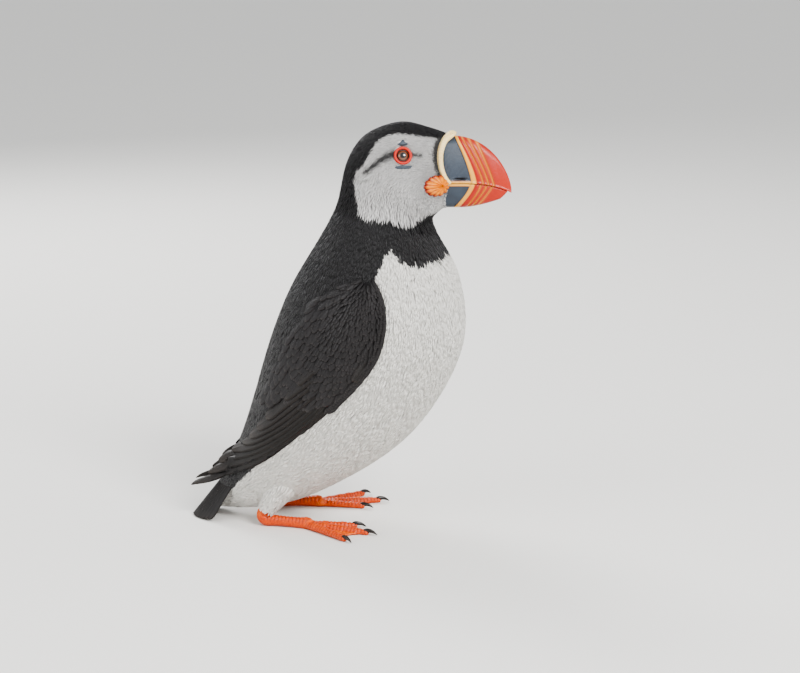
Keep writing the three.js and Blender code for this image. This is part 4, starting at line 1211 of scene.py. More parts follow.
def bill_half(name, ridge, ridge_at, edge_gap, ridge_share, bands, tip_x, upper):
    """One half of the bill: lines across it from the gape to the ridge, on both sides, and back."""
    over_ridge = 1 - 0.2 * np.cos(np.linspace(0.1, np.pi / 2, 18))
    heights = np.concatenate([[0, 0.004, 0.012], np.linspace(0.025, 0.8, 40), over_ridge])
    gape_x = ridge[0, 0] + (ridge[-1, 0] - ridge[0, 0]) * np.linspace(0, 1, BILL_ROWS) ** 0.9
    ridge_x = np.interp(gape_x, ridge[:, 0], ridge[:, 1])
    for _ in range(12):
        ridge_x[1:-1] = (ridge_x[:-2] + 2 * ridge_x[1:-1] + ridge_x[2:]) / 4
    g = gape_x[:, None] + 0 * heights
    h = heights[None, :] + 0 * g
    x = g + (ridge_x[:, None] - g) * h**1.5
    foot = gape_at(x) + edge_gap
    to_tip = np.clip((tip_x - x) / 4, 0, 1) ** 0.5
    z = foot + (ridge_at(x) - foot) * h * to_tip
    slim = 1 - share_along(x, CULMEN_START - 3) ** 1.15
    half = (BILL_HALF_WIDTH * slim + BILL_EDGE) * (1 - (1 - ridge_share) * h**1.7)
    half = half * np.sqrt(np.clip(1 - (np.maximum(h - 0.8, 0) / 0.2) ** 2.2, 0, 1))
    off_edge = np.abs(z - foot)

    # Relief: plate, raised band, grooves with full bands between them, edge lip and nostril.
    relief = -0.25 * step_between(1.0, 2.0, off_edge) * (1 - step_between(bands[0] - 1.2, bands[0], g))
    band_middle = (bands[0] + bands[1]) / 2
    relief += 0.5 * np.clip(1 - ((g - band_middle) / ((bands[1] - bands[0]) / 2 + 0.35)) ** 4, 0, 1)
    lines = list(bands[1:])
    for line in lines:
        relief -= (0.3 if line == bands[1] else 0.5) * np.exp(-(((g - line) / 0.5) ** 2))
    for one, other in zip(lines, lines[1:] + [lines[-1] + 4]):
        relief += 0.16 * np.clip(1 - ((g - (one + other) / 2) / ((other - one) / 2)) ** 2, 0, 1)
    lip = 0.35 * np.exp(-((off_edge - 0.5) / 0.5) ** 2)
    relief += lip if upper else -0.2 * np.exp(-((off_edge / 0.6) ** 2))
    # Painted shade: the dark share marks the nostril slit, and below it the inner faces where the halves
    # meet.
    dark = 0 * g
    if upper:
        slit_along, slit_above, half_length, half_height = NOSTRIL
        across_slit = off_edge - slit_above - 0.06 * (x - slit_along)
        in_slit = ((x - slit_along) / half_length) ** 2 + (across_slit / half_height) ** 2
        dark = np.exp(-(in_slit**2))
        relief += 0.16 * np.exp(-((in_slit - 1.9) ** 2)) - 1.5 * dark
    fade = np.clip(half / 2.2, 0, 1) * (1 - step_between(0.93, 1.0, h))
    y = np.maximum(half + relief * fade, 0)

    past_plate = step_between(bands[0] - 0.45, bands[0] + 0.05, g)
    slate = 1 - past_plate
    yellow = past_plate * (1 - step_between(bands[1] - 0.35, bands[1] + 0.1, g))
    edging = (1 - step_between(0.9, 1.25, off_edge)) * slate
    yellow = yellow + edging
    slate = slate - edging
    in_groove = sum(np.exp(-(((g - line) / 0.62) ** 2)) for line in lines[1:])
    zones = np.stack([slate, np.clip(yellow + 0.55 * in_groove, 0, 1), dark], -1)
    place = np.stack([g, h, share_along(x, CULMEN_START)], -1)

    right = np.stack([x, -y, z], -1)
    left = (right * (1, -1, 1))[:, ::-1]
    inner = right[:, :1] * (1, 0.86, 1) + (0, 0, 0.35 if upper else -0.35)
    inner_left = inner * (1, -1, 1)
    middle = right[:, :1] * (1, 0, 1) + (0, 0, 0.5 if upper else -0.5)
    ring = np.concatenate([right, left, inner_left, middle, inner], 1)
    # Painted shade: the inner faces, where the two halves close on each other, are near black as a shadowed
    # gap.
    mouth = np.tile(np.array([0, 0, 1.0]), (BILL_ROWS, 3, 1))
    zones = np.concatenate([zones, zones[:, ::-1], mouth], 1)
    place = np.concatenate([place, place[:, ::-1], np.repeat(place[:, :1], 3, 1)], 1)
    columns = ring.shape[1]
    sets = closed_tube(BILL_ROWS, columns)
    if not upper:
        sets = turned(sets)
    piece = make_piece(
        name, ring.reshape(-1, 3), sets, bill_material,
        {"zones": zones.reshape(-1, 3), "bill_place": place.reshape(-1, 3)},
    )
    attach(piece, "root")
    return piece


# The horn: fine growth lines run across it, and each colour is blotched.
bill_material, tree, shader = new_material(
    "bill_horn", 0.3, Specular_IOR_Level=0.45, Coat_Weight=0.15, Coat_Roughness=0.25
)
zone = field_parts(tree, "zones")
on_bill = field_parts(tree, "bill_place")
growth = math_node(tree, "MULTIPLY", on_bill[0], 9.0)
growth = math_node(tree, "ADD", growth, math_node(tree, "MULTIPLY", noise(tree, 120, 2), 3.0))
growth = math_node(tree, "SINE", growth)
blotch = noise(tree, 160, 5, roughness=0.65)
fine = noise(tree, 1100, 3)
red = mix_colours(tree, on_bill[2], linear(168, 25, 3), linear(188, 45, 6))
red = mix_colours(tree, math_node(tree, "MULTIPLY", blotch, 0.6), red, linear(140, 20, 5))
slate = mix_colours(tree, blotch, linear(30, 38, 49), linear(60, 74, 88))
yellow = mix_colours(tree, blotch, linear(212, 142, 40), linear(228, 176, 84))
colour = mix_colours(tree, zone[0], red, slate)
colour = mix_colours(tree, zone[1], colour, yellow)
growth_lines = math_node(tree, "MULTIPLY", math_node(tree, "ADD", growth, 1.0), 0.06)
colour = mix_colours(tree, growth_lines, colour, linear(60, 30, 20))
# Painted shade: near black in the nostril slit and on the inner faces between the halves.
colour = mix_colours(tree, zone[2], colour, linear(22, 14, 12))
tree.links.new(colour, shader.inputs["Base Color"])
tree.links.new(map_range(tree, blotch, 0.0, 1.0, 0.32, 0.5), shader.inputs["Roughness"])
ridges = map_range(tree, zone[0], 0.0, 1.0, 0.05, 0.3)
ridges = math_node(tree, "MULTIPLY", growth, ridges)
height = math_node(tree, "ADD", ridges, math_node(tree, "ADD", fine, blotch))
bump(tree, shader, height, 0.35, 0.0002)

UPPER_BANDS = (PLATE_END, BAND_END, *GROOVES)
upper_bill = bill_half("upper_bill", UPPER_RIDGE, culmen_at, 0.12, 0.4, UPPER_BANDS, 99, True)
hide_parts("bill_upper")
lower_bill = bill_half("lower_bill", LOWER_RIDGE, gonys_at, -0.22, 0.55, LOWER_BANDS, 85.6, False)
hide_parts("bill_lower")


# The rim: a swollen cream strip of pitted skin that arches over the bill's base from gape to gape.
# It covers the joint between the horn and the feathers of the face.
RIM_LINE = np.array([
    (55.4, 186.2), (52.8, 189), (50.8, 193.5), (49.9, 199), (50.4, 204.5), (52.2, 209), (54.9, 212.2),
])
RIM_HALF_WIDTH = 8.7
RIM_SIZE = (1.9, 1.35)  # half its width along the bill, and how far it stands out
RIM_ROWS = 260
RIM_SIDES = 40
RIM_PITS = 70


def sweep(path, radii, sides, guide):
    """Rings of points round a path, with radii across and up at each point."""
    heading = unit(np.gradient(path, axis=0))
    up = unit(np.cross(heading, guide))
    across = np.cross(up, heading)
    angle = full_turn(sides)
    ring = np.cos(angle)[None, :, None] * radii[:, :1, None] * across[:, None]
    ring = ring + np.sin(angle)[None, :, None] * radii[:, 1:, None] * up[:, None]
    return path[:, None] + ring, unit(ring)


turn = np.linspace(-1, 1, RIM_ROWS)
rise = np.maximum(np.cos(np.pi * turn / 2), 0) ** 0.8
arch = curve_through(RIM_LINE, rise * (len(RIM_LINE) - 1))
aside = np.sign(turn) * RIM_HALF_WIDTH * np.sqrt(np.maximum(1 - rise**2.6, 0))
over_top = step_between(0.8, 1.0, rise)
rim_path = np.stack([arch[:, 0] + 0.7 * over_top, aside, arch[:, 1]], 1)
rim_path[:, 1] = smooth(rim_path[:, 1:2], 8, False)[:, 0]
slim = (0.5 + 0.5 * np.sqrt(rise))[:, None] * np.stack([1 + 0.3 * over_top, np.ones(RIM_ROWS)], 1)
rim_rings, rim_out = sweep(rim_path, np.array(RIM_SIZE) * slim, RIM_SIDES, np.array([1.0, 0, 0]))
around_rim = full_turn(RIM_SIDES)
seam = 0.22 * np.exp(-((np.angle(np.exp(1j * (around_rim + 0.5 * np.pi + 0.75))) / 0.16) ** 2))
relief = -seam[None, :] - 0.05 * np.sin(turn * 150)[:, None] * np.abs(np.sin(around_rim))[None, :]
pit_at = chance.integers(8, RIM_ROWS - 8, RIM_PITS)
pit_round = chance.integers(0, RIM_SIDES, RIM_PITS)
half_round = RIM_SIDES // 2
for one, other in zip(pit_at, pit_round):
    away = np.abs(np.arange(RIM_ROWS) - one)[:, None] / 1.6
    round_gap = np.abs((np.arange(RIM_SIDES) - other + half_round) % RIM_SIDES - half_round)[None, :] / 1.2
    relief = relief - 0.16 * np.exp(-(away**2) - round_gap**2)
rim_rings = rim_rings + relief[..., None] * rim_out
rim_material, tree, shader = new_material("rim_skin", 0.5, Subsurface_Weight=0.1, Subsurface_Scale=0.002)
mottle = noise(tree, 300, 4)
cream = mix_colours(tree, mottle, linear(222, 190, 122), linear(238, 220, 172))
# Painted shade: the skin turns brown in the pits and the seam, the deeper the darker.
pit_shade = map_range(tree, field(tree, "relief", "Fac"), -0.16, -0.04, 0.55, 0.0)
cream = mix_colours(tree, pit_shade, cream, linear(150, 110, 60))
tree.links.new(cream, shader.inputs["Base Color"])
bump(tree, shader, noise(tree, 1300, 3), 0.4, 0.00015)
rim = make_piece(
    "bill_rim_skin", rim_rings.reshape(-1, 3), closed_tube(RIM_ROWS, RIM_SIDES), rim_material,
    {"relief": relief.ravel()},
)
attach(rim, "root")
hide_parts("bill_rim")

# The rosettes: a fold of yellow-orange skin, puckered into petals, round each corner of the gape.
# Each lies flat against the cheek, and its edge turns under into the feathers.
ROSETTE_OUT = unit(np.array([0.55, -0.83, 0.0]))
ROSETTE_MIDDLE = (48.6, 185.4)  # in side view, with half its length and half its height
ROSETTE_SIZE = (6.2, 5.6)
PETALS_FROM = 0.42  # how far forward of its middle the petals meet, as a share of its length
PETALS = 13
PETAL_RINGS = 26  # from its middle to its edge, before the rings that turn under
radius = np.concatenate([np.linspace(0, 1, PETAL_RINGS), [1.03, 1.0, 0.9]])[:, None]
drop = np.concatenate([np.zeros(PETAL_RINGS), [-0.8, -1.8, -2.6]])[:, None]
around = full_turn(132)[None, :]
petal = np.abs(np.cos(around * PETALS / 2 + np.pi / 2 + 0.25 * np.sin(3 * around)))
within = np.minimum(radius, 1)
dome = 1.5 * (1 - within**3) ** 0.7 - 0.7 * np.exp(-((within / 0.16) ** 2))
height = dome * (0.25 + 0.75 * petal**0.5) + 0.08 * np.sin(within * 17 + 2 * around)
height = 0.25 + height * (within < 1) + drop
reach = radius * (1 - 0.17 * (1 - petal) ** 1.5 * within)
ahead = PETALS_FROM * (1 - within) + reach * np.cos(around)
petal_x = np.minimum(ROSETTE_MIDDLE[0] + ahead * ROSETTE_SIZE[0], 54.9)
petal_z = ROSETTE_MIDDLE[1] + reach * np.sin(around) * ROSETTE_SIZE[1]
head_rows = 9 * ROWS_PER_GIRTH
head_grid = body.fields[head_rows:, :, :3]
head_faces = grid_faces(*head_grid.shape[:2], wraps_columns=True)
head_surface = BVHTree.FromPolygons(head_grid.reshape(-1, 3).tolist(), head_faces.tolist())
petal_y = np.empty(petal_x.shape)
for spot in np.ndindex(petal_x.shape):
    hit = head_surface.ray_cast(Vector((petal_x[spot], -60, petal_z[spot])), Vector((0, 1, 0)))[0]
    petal_y[spot] = hit.y if hit else -8.0
petal_points = np.stack([petal_x, petal_y, petal_z], -1) + height[..., None] * ROSETTE_OUT
rosette_material, tree, shader = new_material(
    "rosette_skin", 0.42, Subsurface_Weight=0.15, Subsurface_Scale=0.002
)
# Painted shade: the skin darkens to deep red where it is low, in the creases between the petals.
crease_shade = map_range(tree, field(tree, "relief", "Fac"), 0.45, 1.25, 1.0, 0.0)
flesh = mix_colours(tree, noise(tree, 400, 4), linear(214, 110, 8), linear(228, 146, 24))
flesh = mix_colours(tree, crease_shade, flesh, linear(140, 34, 4))
tree.links.new(flesh, shader.inputs["Base Color"])
bump(tree, shader, noise(tree, 1500, 3), 0.4, 0.00015)
petal_rows, petal_columns = petal_points.shape[:2]
petal_faces = grid_faces(petal_rows, petal_columns, wraps_columns=True)
back = np.arange(petal_columns)[None, :] + (petal_rows - 1) * petal_columns
for side, sign in (("right", 1), ("left", -1)):
    sets = [petal_faces, back] if sign > 0 else turned([petal_faces, back])
    piece = make_piece(
        "rosette_" + side, (petal_points * (1, sign, 1)).reshape(-1, 3), sets, rosette_material,
        {"relief": height.ravel()},
    )
    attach(piece, "root")
    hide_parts("gape_rosette_" + side)

# ---- Eyes ----
# Glass eyes with a dark brown iris, set in thin grey lids, each inside a bare red ring. A pointed
# horny plate stands above the ring and a flat one lies below it.
ball_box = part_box("eye_right")
BALL = np.array((ball_box[0] + ball_box[1]) / 2) / MM
BALL_RADIUS = 4.3
PUPIL = 1.5
IRIS = 3.0
EYE_DEPTH = 1.8  # how far the ring sits back into the face from the middle of its opening
BALL_GRID = (60, 72)  # rows from its front to its back, and points in each

eye_out = unit(EYE - BALL)
eye_forward = unit(np.cross(np.array([0, 0, 1.0]), eye_out))
if eye_forward[0] < 0:
    eye_forward = -eye_forward
eye_up = unit(np.array([0, 0, 1.0]) - eye_out * eye_out[2])


def from_eye_frame(points):
    """Points given forward of the eye, above it and out of it, as places on the bird's right."""
    out = points[..., 2:] - EYE_DEPTH
    return EYE + points[..., :1] * eye_forward + points[..., 1:2] * eye_up + out * eye_out


def eye_pair(name, node, points, face_sets, material, fields=None):
    """A piece at the right eye and its mirror image at the left one."""
    for side, sign in (("right", 1), ("left", -1)):
        places = from_eye_frame(points).reshape(-1, 3) * (1, sign, 1)
        sets = face_sets if sign > 0 else turned(face_sets)
        piece = make_piece(name + "_" + side, places, sets, material, fields)
        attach(piece, "root")
        if node:
            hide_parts(node + "_" + side)


ball_depth = np.linalg.norm(EYE - BALL)
polar = np.linspace(0, np.pi, BALL_GRID[0])[:, None]
around = full_turn(BALL_GRID[1])[None, :]
cornea = BALL_RADIUS + 0.22 * np.exp(-((polar / 0.62) ** 4))
off_axis = cornea * np.sin(polar)
in_front = cornea * np.cos(polar) - ball_depth + 0 * around
ball = np.stack([off_axis * np.cos(around), off_axis * np.sin(around), in_front], -1)
eye_material, tree, shader = new_material(
    "eye_glass", 0.06, Specular_IOR_Level=0.6, Coat_Weight=1.0, Coat_Roughness=0.02
)
gaze = field_parts(tree, "gaze")
streak_x = math_node(tree, "MULTIPLY", gaze[1], 5.0)
streak_y = math_node(tree, "MULTIPLY", gaze[2], 5.0)
streak_at = add_node(tree, "ShaderNodeCombineXYZ", {0: streak_x, 1: streak_y, 2: gaze[0]})
streaks = noise(tree, 2.2, 4, at=streak_at.outputs[0])
brown = mix_colours(tree, streaks, linear(46, 22, 10), linear(128, 74, 38))
outer = map_range(tree, gaze[0], IRIS - 0.5, IRIS, 0.0, 1.0)
brown = mix_colours(tree, outer, brown, linear(14, 9, 7))
pupil = map_range(tree, gaze[0], PUPIL - 0.08, PUPIL + 0.08, 1.0, 0.0)
tree.links.new(mix_colours(tree, pupil, brown, (0.002, 0.002, 0.002, 1)), shader.inputs["Base Color"])
gaze_field = np.stack([off_axis + 0 * around, np.cos(around) + 0 * polar, np.sin(around) + 0 * polar], -1)
gaze_field[polar[:, 0] > np.pi / 2, :, 0] = BALL_RADIUS
ball_faces = turned([grid_faces(*BALL_GRID, wraps_columns=True)])
eye_pair("eyeball", "eye", ball, ball_faces, eye_material, {"gaze": gaze_field.reshape(-1, 3)})

# The red ring: a fleshy ring of bare skin, beaded with tiny warts. It sits on the lids' outer edge
# and closes the gap between them and the feathers.
RING = (4.1, 0.8)  # its radius, and that of its section
RING_GRID = (150, 22)  # points round the eye, and round the ring's section
around = full_turn(RING_GRID[0])[:, None]
section = full_turn(RING_GRID[1])[None, :]
warts = 0.06 * np.maximum(np.sin(around * 23 + 1.3 * np.cos(section * 2)), 0) * np.abs(np.cos(section))
warts = warts + 0.06 * np.sin(around * 41) * np.sin(section) + 0.05 * np.sin(around * 7 + 1)
tube_radius = RING[1] + warts
ring_radius = RING[0] + tube_radius * np.cos(section) * 0.95
ring_out = 0.2 + tube_radius * np.sin(section) * 0.85
ring = np.stack([ring_radius * np.cos(around), ring_radius * np.sin(around), ring_out], -1)
ring_material, tree, shader = new_material("ring_skin", 0.4, Subsurface_Weight=0.1, Subsurface_Scale=0.001)
flush = mix_colours(tree, noise(tree, 500, 3), linear(166, 22, 6), linear(196, 46, 12))
tree.links.new(flush, shader.inputs["Base Color"])
bump(tree, shader, noise(tree, 1800, 3), 0.4, 0.0001)
eye_pair("eye_ring_skin", "eye_ring", ring, [grid_faces(*RING_GRID, True, True)], ring_material)

# The lids: thin grey skin, stretched over the glass from under the ring to an opening that is
# slightly longer than it is high.
LID_OPENING = (3.1, 2.75)  # half its length and half its height
LID_STEPS = 14  # across a lid, on its outside and again on its inside
LID_START = 4.05  # how far from the eye's middle the lid comes out from under the ring
lid_steps = np.linspace(0, 1, LID_STEPS)[None, :]
opening = 1 / np.sqrt((np.cos(around) / LID_OPENING[0]) ** 2 + (np.sin(around) / LID_OPENING[1]) ** 2)
there_and_back = np.concatenate([lid_steps, lid_steps[:, ::-1]], 1)
lid_radius = LID_START + (opening - LID_START) * there_and_back
over_ball = np.sqrt(np.maximum((BALL_RADIUS + 0.12) ** 2 - lid_radius**2, 0.1)) - ball_depth
outside = 0.22 * np.sin(np.pi * lid_steps[0] * 0.85 + 0.2)
thickness = np.concatenate([outside, np.full(LID_STEPS, -0.12)])[None, :]
fold = 0.07 * np.sin(lid_radius * 11) * (thickness > 0)
lids = np.stack([lid_radius * np.cos(around), lid_radius * np.sin(around), over_ball + thickness + fold], -1)
lid_material, tree, shader = new_material("lid_skin", 0.5)
lid_grey = mix_colours(tree, noise(tree, 700, 3), linear(48, 44, 46), linear(84, 74, 74))
tree.links.new(lid_grey, shader.inputs["Base Color"])
bump(tree, shader, noise(tree, 2000, 2), 0.4, 0.0001)
lid_faces = [grid_faces(RING_GRID[0], 2 * LID_STEPS, True, True)]
eye_pair("eyelids", None, lids, lid_faces, lid_material)


# The plates: dusty slate horn, a pointed one over the eye and a flat one under it. Each is domed,
# and its base is set into the skin beside the ring.
BROW_PLATE = ((-2.9, 5.9), (0, 5.5), (2.9, 6.0), (1.7, 7.2), (0.4, 8.7), (-0.6, 8.0), (-1.6, 7.0))
CHEEK_PLATE = (
    (-4.5, -5.7), (-3.6, -6.9), (0, -7.3), (2.9, -7.0), (4.6, -5.8), (2.4, -5.35), (-2.2, -5.3),
)
PLATE_CORNERS = 96  # points round a plate's edge


def horn_plate(outline, height):
    """A domed plate with rounded edges, from an outline in the eye's own frame."""
    corners = np.array(outline, float)
    looped = np.concatenate([corners[-2:], corners, corners[:3]])
    edge = curve_through(looped, np.linspace(2, 2 + len(corners), PLATE_CORNERS, endpoint=False))
    middle = edge.mean(0)
    inwards = np.array([1.02, 1.06, 1.04, 0.97, 0.86, 0.7, 0.5, 0.28, 0.0])
    rises = np.array([-1.6, -0.5, -0.1, 0.35, 0.66, 0.85, 0.95, 1.0, 1.02]) * height
    rings = middle + (edge - middle)[None] * inwards[:, None, None]
    growth = 0.05 * np.sin(rings[..., 0] * 6 + rings[..., 1] * 2)
    fall = 0.16 * (np.abs(rings[..., 1]) - 5)
    return np.concatenate([rings, (rises[:, None] + growth - fall)[..., None]], -1)


plate_material, tree, shader = new_material("plate_horn", 0.42, Specular_IOR_Level=0.4)
dusty = mix_colours(tree, noise(tree, 350, 4), linear(38, 46, 55), linear(78, 88, 98))
tree.links.new(dusty, shader.inputs["Base Color"])
bump(tree, shader, noise(tree, 1400, 4), 0.5, 0.00015)
for name, outline, height in (("brow_plate", BROW_PLATE, 1.15), ("cheek_plate", CHEEK_PLATE, 0.95)):
    plate = horn_plate(outline, height)
    faces = grid_faces(len(plate), PLATE_CORNERS, wraps_columns=True)
    base = np.arange(PLATE_CORNERS)[None, :]
    eye_pair(name + "_horn", name, plate, [faces, base], plate_material)

# ---- Legs and feet ----
# The legs come out of the belly feathers, and the tarsi lie on the floor. Their skin is orange and
# scaled: broad plates along the top, small grains elsewhere, and thin webs between three toes.
HEEL = np.array([-43.84, -19.0, 0.0])
FOOT_ROOT = np.array([-20.34, -23.0, 0.0])
TARSUS = (2.7, 3.3)  # half its width and half its height
TOE_RADIUS = 2.4
TOES = {"inner": (27.0, 7.0), "middle": (36.0, -17.0), "outer": (34.0, -46.0)}  # length, angle
TOE_JOINTS = {"inner": (0.36, 0.72), "middle": (0.3, 0.58, 0.82), "outer": (0.24, 0.46, 0.66, 0.85)}
WEB_HALF_THICKNESS = 0.42
GRAIN = 0.42  # the size of the cells that the skin is drawn with
PLATE_LENGTH = 2.0
PLATE_RELIEF = 0.5
LIMB_ROWS = 40  # of the rough tubes that the skin is drawn over, with the points in each row
LIMB_SIDES = 24
TOE_ROWS = 60
TOE_SIDES = 20
BALL_ROWS = 20


def toe_heading(angle):
    """The way that a toe points, from its angle in degrees."""
    turn = math.radians(angle)
    return np.array([math.cos(turn), math.sin(turn), 0])


def resampled(stations, count):
    """Path points and radii, read evenly along a smooth curve through stations."""
    rows = curve_through(np.array(stations, float), np.linspace(0, len(stations) - 1, count))
    return rows[:, :3], rows[:, 3:]


thigh = [  # a place, half the width and half the height of each station
    (*(HEEL + (15, 0.6, 30)), 6.0, 6.0), (*(HEEL + (8.5, 0.4, 21)), 4.6, 4.8),
    (*(HEEL + (2.6, 0, 12.5)), 3.7, 3.7), (*(HEEL + (-1.2, 0, 6.4)), 3.2, 3.4),
    (*(HEEL + (0.4, 0, 3.4)), 3.15, 3.4), (*(HEEL + (4.2, -0.6, 3.2)), 2.75, 3.1),
]
ankle = FOOT_ROOT + (0, 0, 2.8)
heel_middle = HEEL + (0, 0, 3.3)
shank = []
for share, girth in ((0.0, 1.05), (0.2, 0.95), (0.5, 0.88), (0.8, 0.92), (1.0, 1.1), (1.1, 0.9)):
    spot = heel_middle + (ankle - HEEL - (0, 0, 3.3)) * share
    shank.append((*spot, TARSUS[0] * girth, TARSUS[1] * girth * 0.97))
limb_parts = []
side_guide = np.array([0, 1.0, 0])
for stations in (thigh, shank):
    path, radii = resampled(stations, LIMB_ROWS)
    limb_parts.append((sweep(path, radii, LIMB_SIDES, side_guide)[0], LIMB_ROWS, LIMB_SIDES))
toe_paths = {}
for name, (length, angle) in TOES.items():
    share = np.linspace(0, 1, TOE_ROWS)
    knuckles = sum(np.exp(-(((share - joint) / 0.045) ** 2)) for joint in TOE_JOINTS[name])
    pad = TOE_RADIUS * (1 - 0.33 * share) * (1 + 0.1 * knuckles)
    pad = pad * np.sqrt(np.clip(1 - ((share - 0.93) / 0.08).clip(0, 1) ** 2 * 0.75, 0, 1))
    path = FOOT_ROOT + share[:, None] * length * toe_heading(angle)
    path[:, 2] = pad * 0.8 + 0.25 * np.sin(np.pi * share)
    toe_paths[name] = path
    rings = sweep(path, np.stack([pad, pad * 0.92], 1), TOE_SIDES, side_guide)[0]
    limb_parts.append((rings, TOE_ROWS, TOE_SIDES))
ball_turn = np.linspace(0.05, np.pi - 0.05, BALL_ROWS)
ball_path = FOOT_ROOT + np.array([1.8, 0, 2.2]) - np.cos(ball_turn)[:, None] * np.array([4.2, 0, 0])
ball_radii = np.stack([3.9 * np.sin(ball_turn), 2.5 * np.sin(ball_turn)], 1)
limb_parts.append((sweep(ball_path, ball_radii, LIMB_SIDES, side_guide)[0], BALL_ROWS, LIMB_SIDES))


def web_sheet(one, other):
    """The web between two toes: a thin sheet with a scalloped edge, slack between its toes."""
    rows, columns = 40, 24
    spread = np.linspace(0, 1, columns)[None, :, None]
    edge_one = FOOT_ROOT + toe_heading(TOES[one][1]) * TOES[one][0] * 0.95
    edge_other = FOOT_ROOT + toe_heading(TOES[other][1]) * TOES[other][0] * 0.95
    rim_points = edge_one * (1 - spread) + edge_other * spread
    scallop = 1 - 0.17 * np.sin(np.pi * spread)
    rim_points = FOOT_ROOT + (rim_points - FOOT_ROOT) * scallop
    out = np.linspace(0.02, 1, rows)[:, None, None]
    sheet = FOOT_ROOT + (rim_points - FOOT_ROOT) * out
    sag = 1.35 - 0.75 * np.sin(np.pi * spread[..., 0]) * out[..., 0] ** 0.6
    sag = sag + 0.2 * np.sin(spread[..., 0] * 28) * out[..., 0] ** 1.5
    thick = WEB_HALF_THICKNESS + 0.12 * (out[..., 0] > 0.93)
    top = sheet.copy()
    top[..., 2] = sag + thick
    under = sheet.copy()
    under[..., 2] = np.maximum(sag - thick, 0.1)
    ring = np.concatenate([top, under[:, ::-1]], 1)
    return ring, rows, 2 * columns


limb_parts.append(web_sheet("inner", "middle"))
limb_parts.append(web_sheet("middle", "outer"))

rough_points = []
rough_faces = []
start = 0
for rings, rows, sides in limb_parts:
    rough_points += rings.reshape(-1, 3).tolist()
    for faces in closed_tube(rows, sides):
        rough_faces += (faces + start).tolist()
    start += rows * sides
rough = bpy.data.meshes.new("rough_limb")
rough.from_pydata(rough_points, [], rough_faces)
rough_limb = bpy.data.objects.new("rough_limb", rough)
bpy.context.scene.collection.objects.link(rough_limb)
wrap = rough_limb.modifiers.new("wrap", "REMESH")
wrap.mode = "VOXEL"
wrap.voxel_size = GRAIN
wrapped = rough_limb.evaluated_get(bpy.context.evaluated_depsgraph_get()).to_mesh()
limb_points = np.empty(len(wrapped.vertices) * 3, np.float32)
wrapped.vertices.foreach_get("co", limb_points)
limb_points = limb_points.reshape(-1, 3).astype(float)
limb_faces = np.array([list(p.vertices) for p in wrapped.polygons], np.int32)
limb_edges = np.empty(len(wrapped.edges) * 2, np.int32)
wrapped.edges.foreach_get("vertices", limb_edges)
limb_edges = limb_edges.reshape(-1, 2)
bpy.data.objects.remove(rough_limb)

# The cells' steps are smoothed away: each point is drawn halfway to the middle of its neighbours.
neighbour_count = np.bincount(limb_edges.ravel(), minlength=len(limb_points))[:, None]
for _ in range(4):
    total = np.zeros_like(limb_points)
    np.add.at(total, limb_edges[:, 0], limb_points[limb_edges[:, 1]])
    np.add.at(total, limb_edges[:, 1], limb_points[limb_edges[:, 0]])
    limb_points = limb_points + 0.5 * (total / neighbour_count - limb_points)
corners = limb_points[limb_faces]
flat = np.cross(corners[:, 2] - corners[:, 0], corners[:, 3] - corners[:, 1])
limb_normals = np.zeros_like(limb_points)
for k in range(4):
    np.add.at(limb_normals, limb_faces[:, k], flat)
limb_normals = unit(limb_normals)

# Plates: their place along the nearest toe or along the tarsus, raised on the upper side.
nearest_axis = np.full(len(limb_points), 1e9)
along_axis = np.zeros(len(limb_points))
axis_radius = np.full(len(limb_points), 2.4)
axes = [(HEEL + (0, 0, 3.0), ankle, 3.0)]
axes += [(HEEL + (-0.5, 0, 4.0), HEEL + (14, 0.6, 30), 3.6)]
axes += [(path[0], path[-1], 2.2) for path in toe_paths.values()]
for begin, end, radius in axes:
    line = end - begin
    t = np.clip(((limb_points - begin) @ line) / (line @ line), 0, 1)
    gap = np.linalg.norm(limb_points - begin - t[:, None] * line, axis=1)
    closer = gap < nearest_axis
    nearest_axis = np.where(closer, gap, nearest_axis)
    along_axis = np.where(closer, t * np.linalg.norm(line), along_axis)
    axis_radius = np.where(closer, radius, axis_radius)
on_toe = 1 - step_between(0.0, 0.9, nearest_axis - axis_radius)
on_top = step_between(-0.25, 0.35, limb_normals[:, 2]) * on_toe
phase = (along_axis / PLATE_LENGTH) % 1
plate = 1 - np.abs(2 * phase - 1) ** 4
limb_points = limb_points + limb_normals * (PLATE_RELIEF * on_top * (plate - 0.6))[:, None]
limb_points[:, 2] = np.maximum(limb_points[:, 2], 0.0)
groove = on_top * (1 - plate)
web_share = 1 - on_toe
sole = step_between(0.2, 0.7, -limb_normals[:, 2])

foot_material, tree, shader = new_material(
    "foot_skin", 0.4, Specular_IOR_Level=0.45, Subsurface_Weight=0.08, Subsurface_Scale=0.002
)
relief_field = field_parts(tree, "foot_relief")
where = add_node(tree, "ShaderNodeTexCoord").outputs["Object"]
grains = add_node(tree, "ShaderNodeTexVoronoi", {"Vector": where, "Scale": 1400.0})
mottle = noise(tree, 200, 4)
orange = mix_colours(tree, mottle, linear(206, 62, 10), linear(226, 96, 22))
webbing = mix_colours(tree, mottle, linear(214, 78, 14), linear(236, 122, 34))
orange = mix_colours(tree, relief_field[1], orange, webbing)
orange = mix_colours(tree, relief_field[0], orange, linear(96, 24, 8))
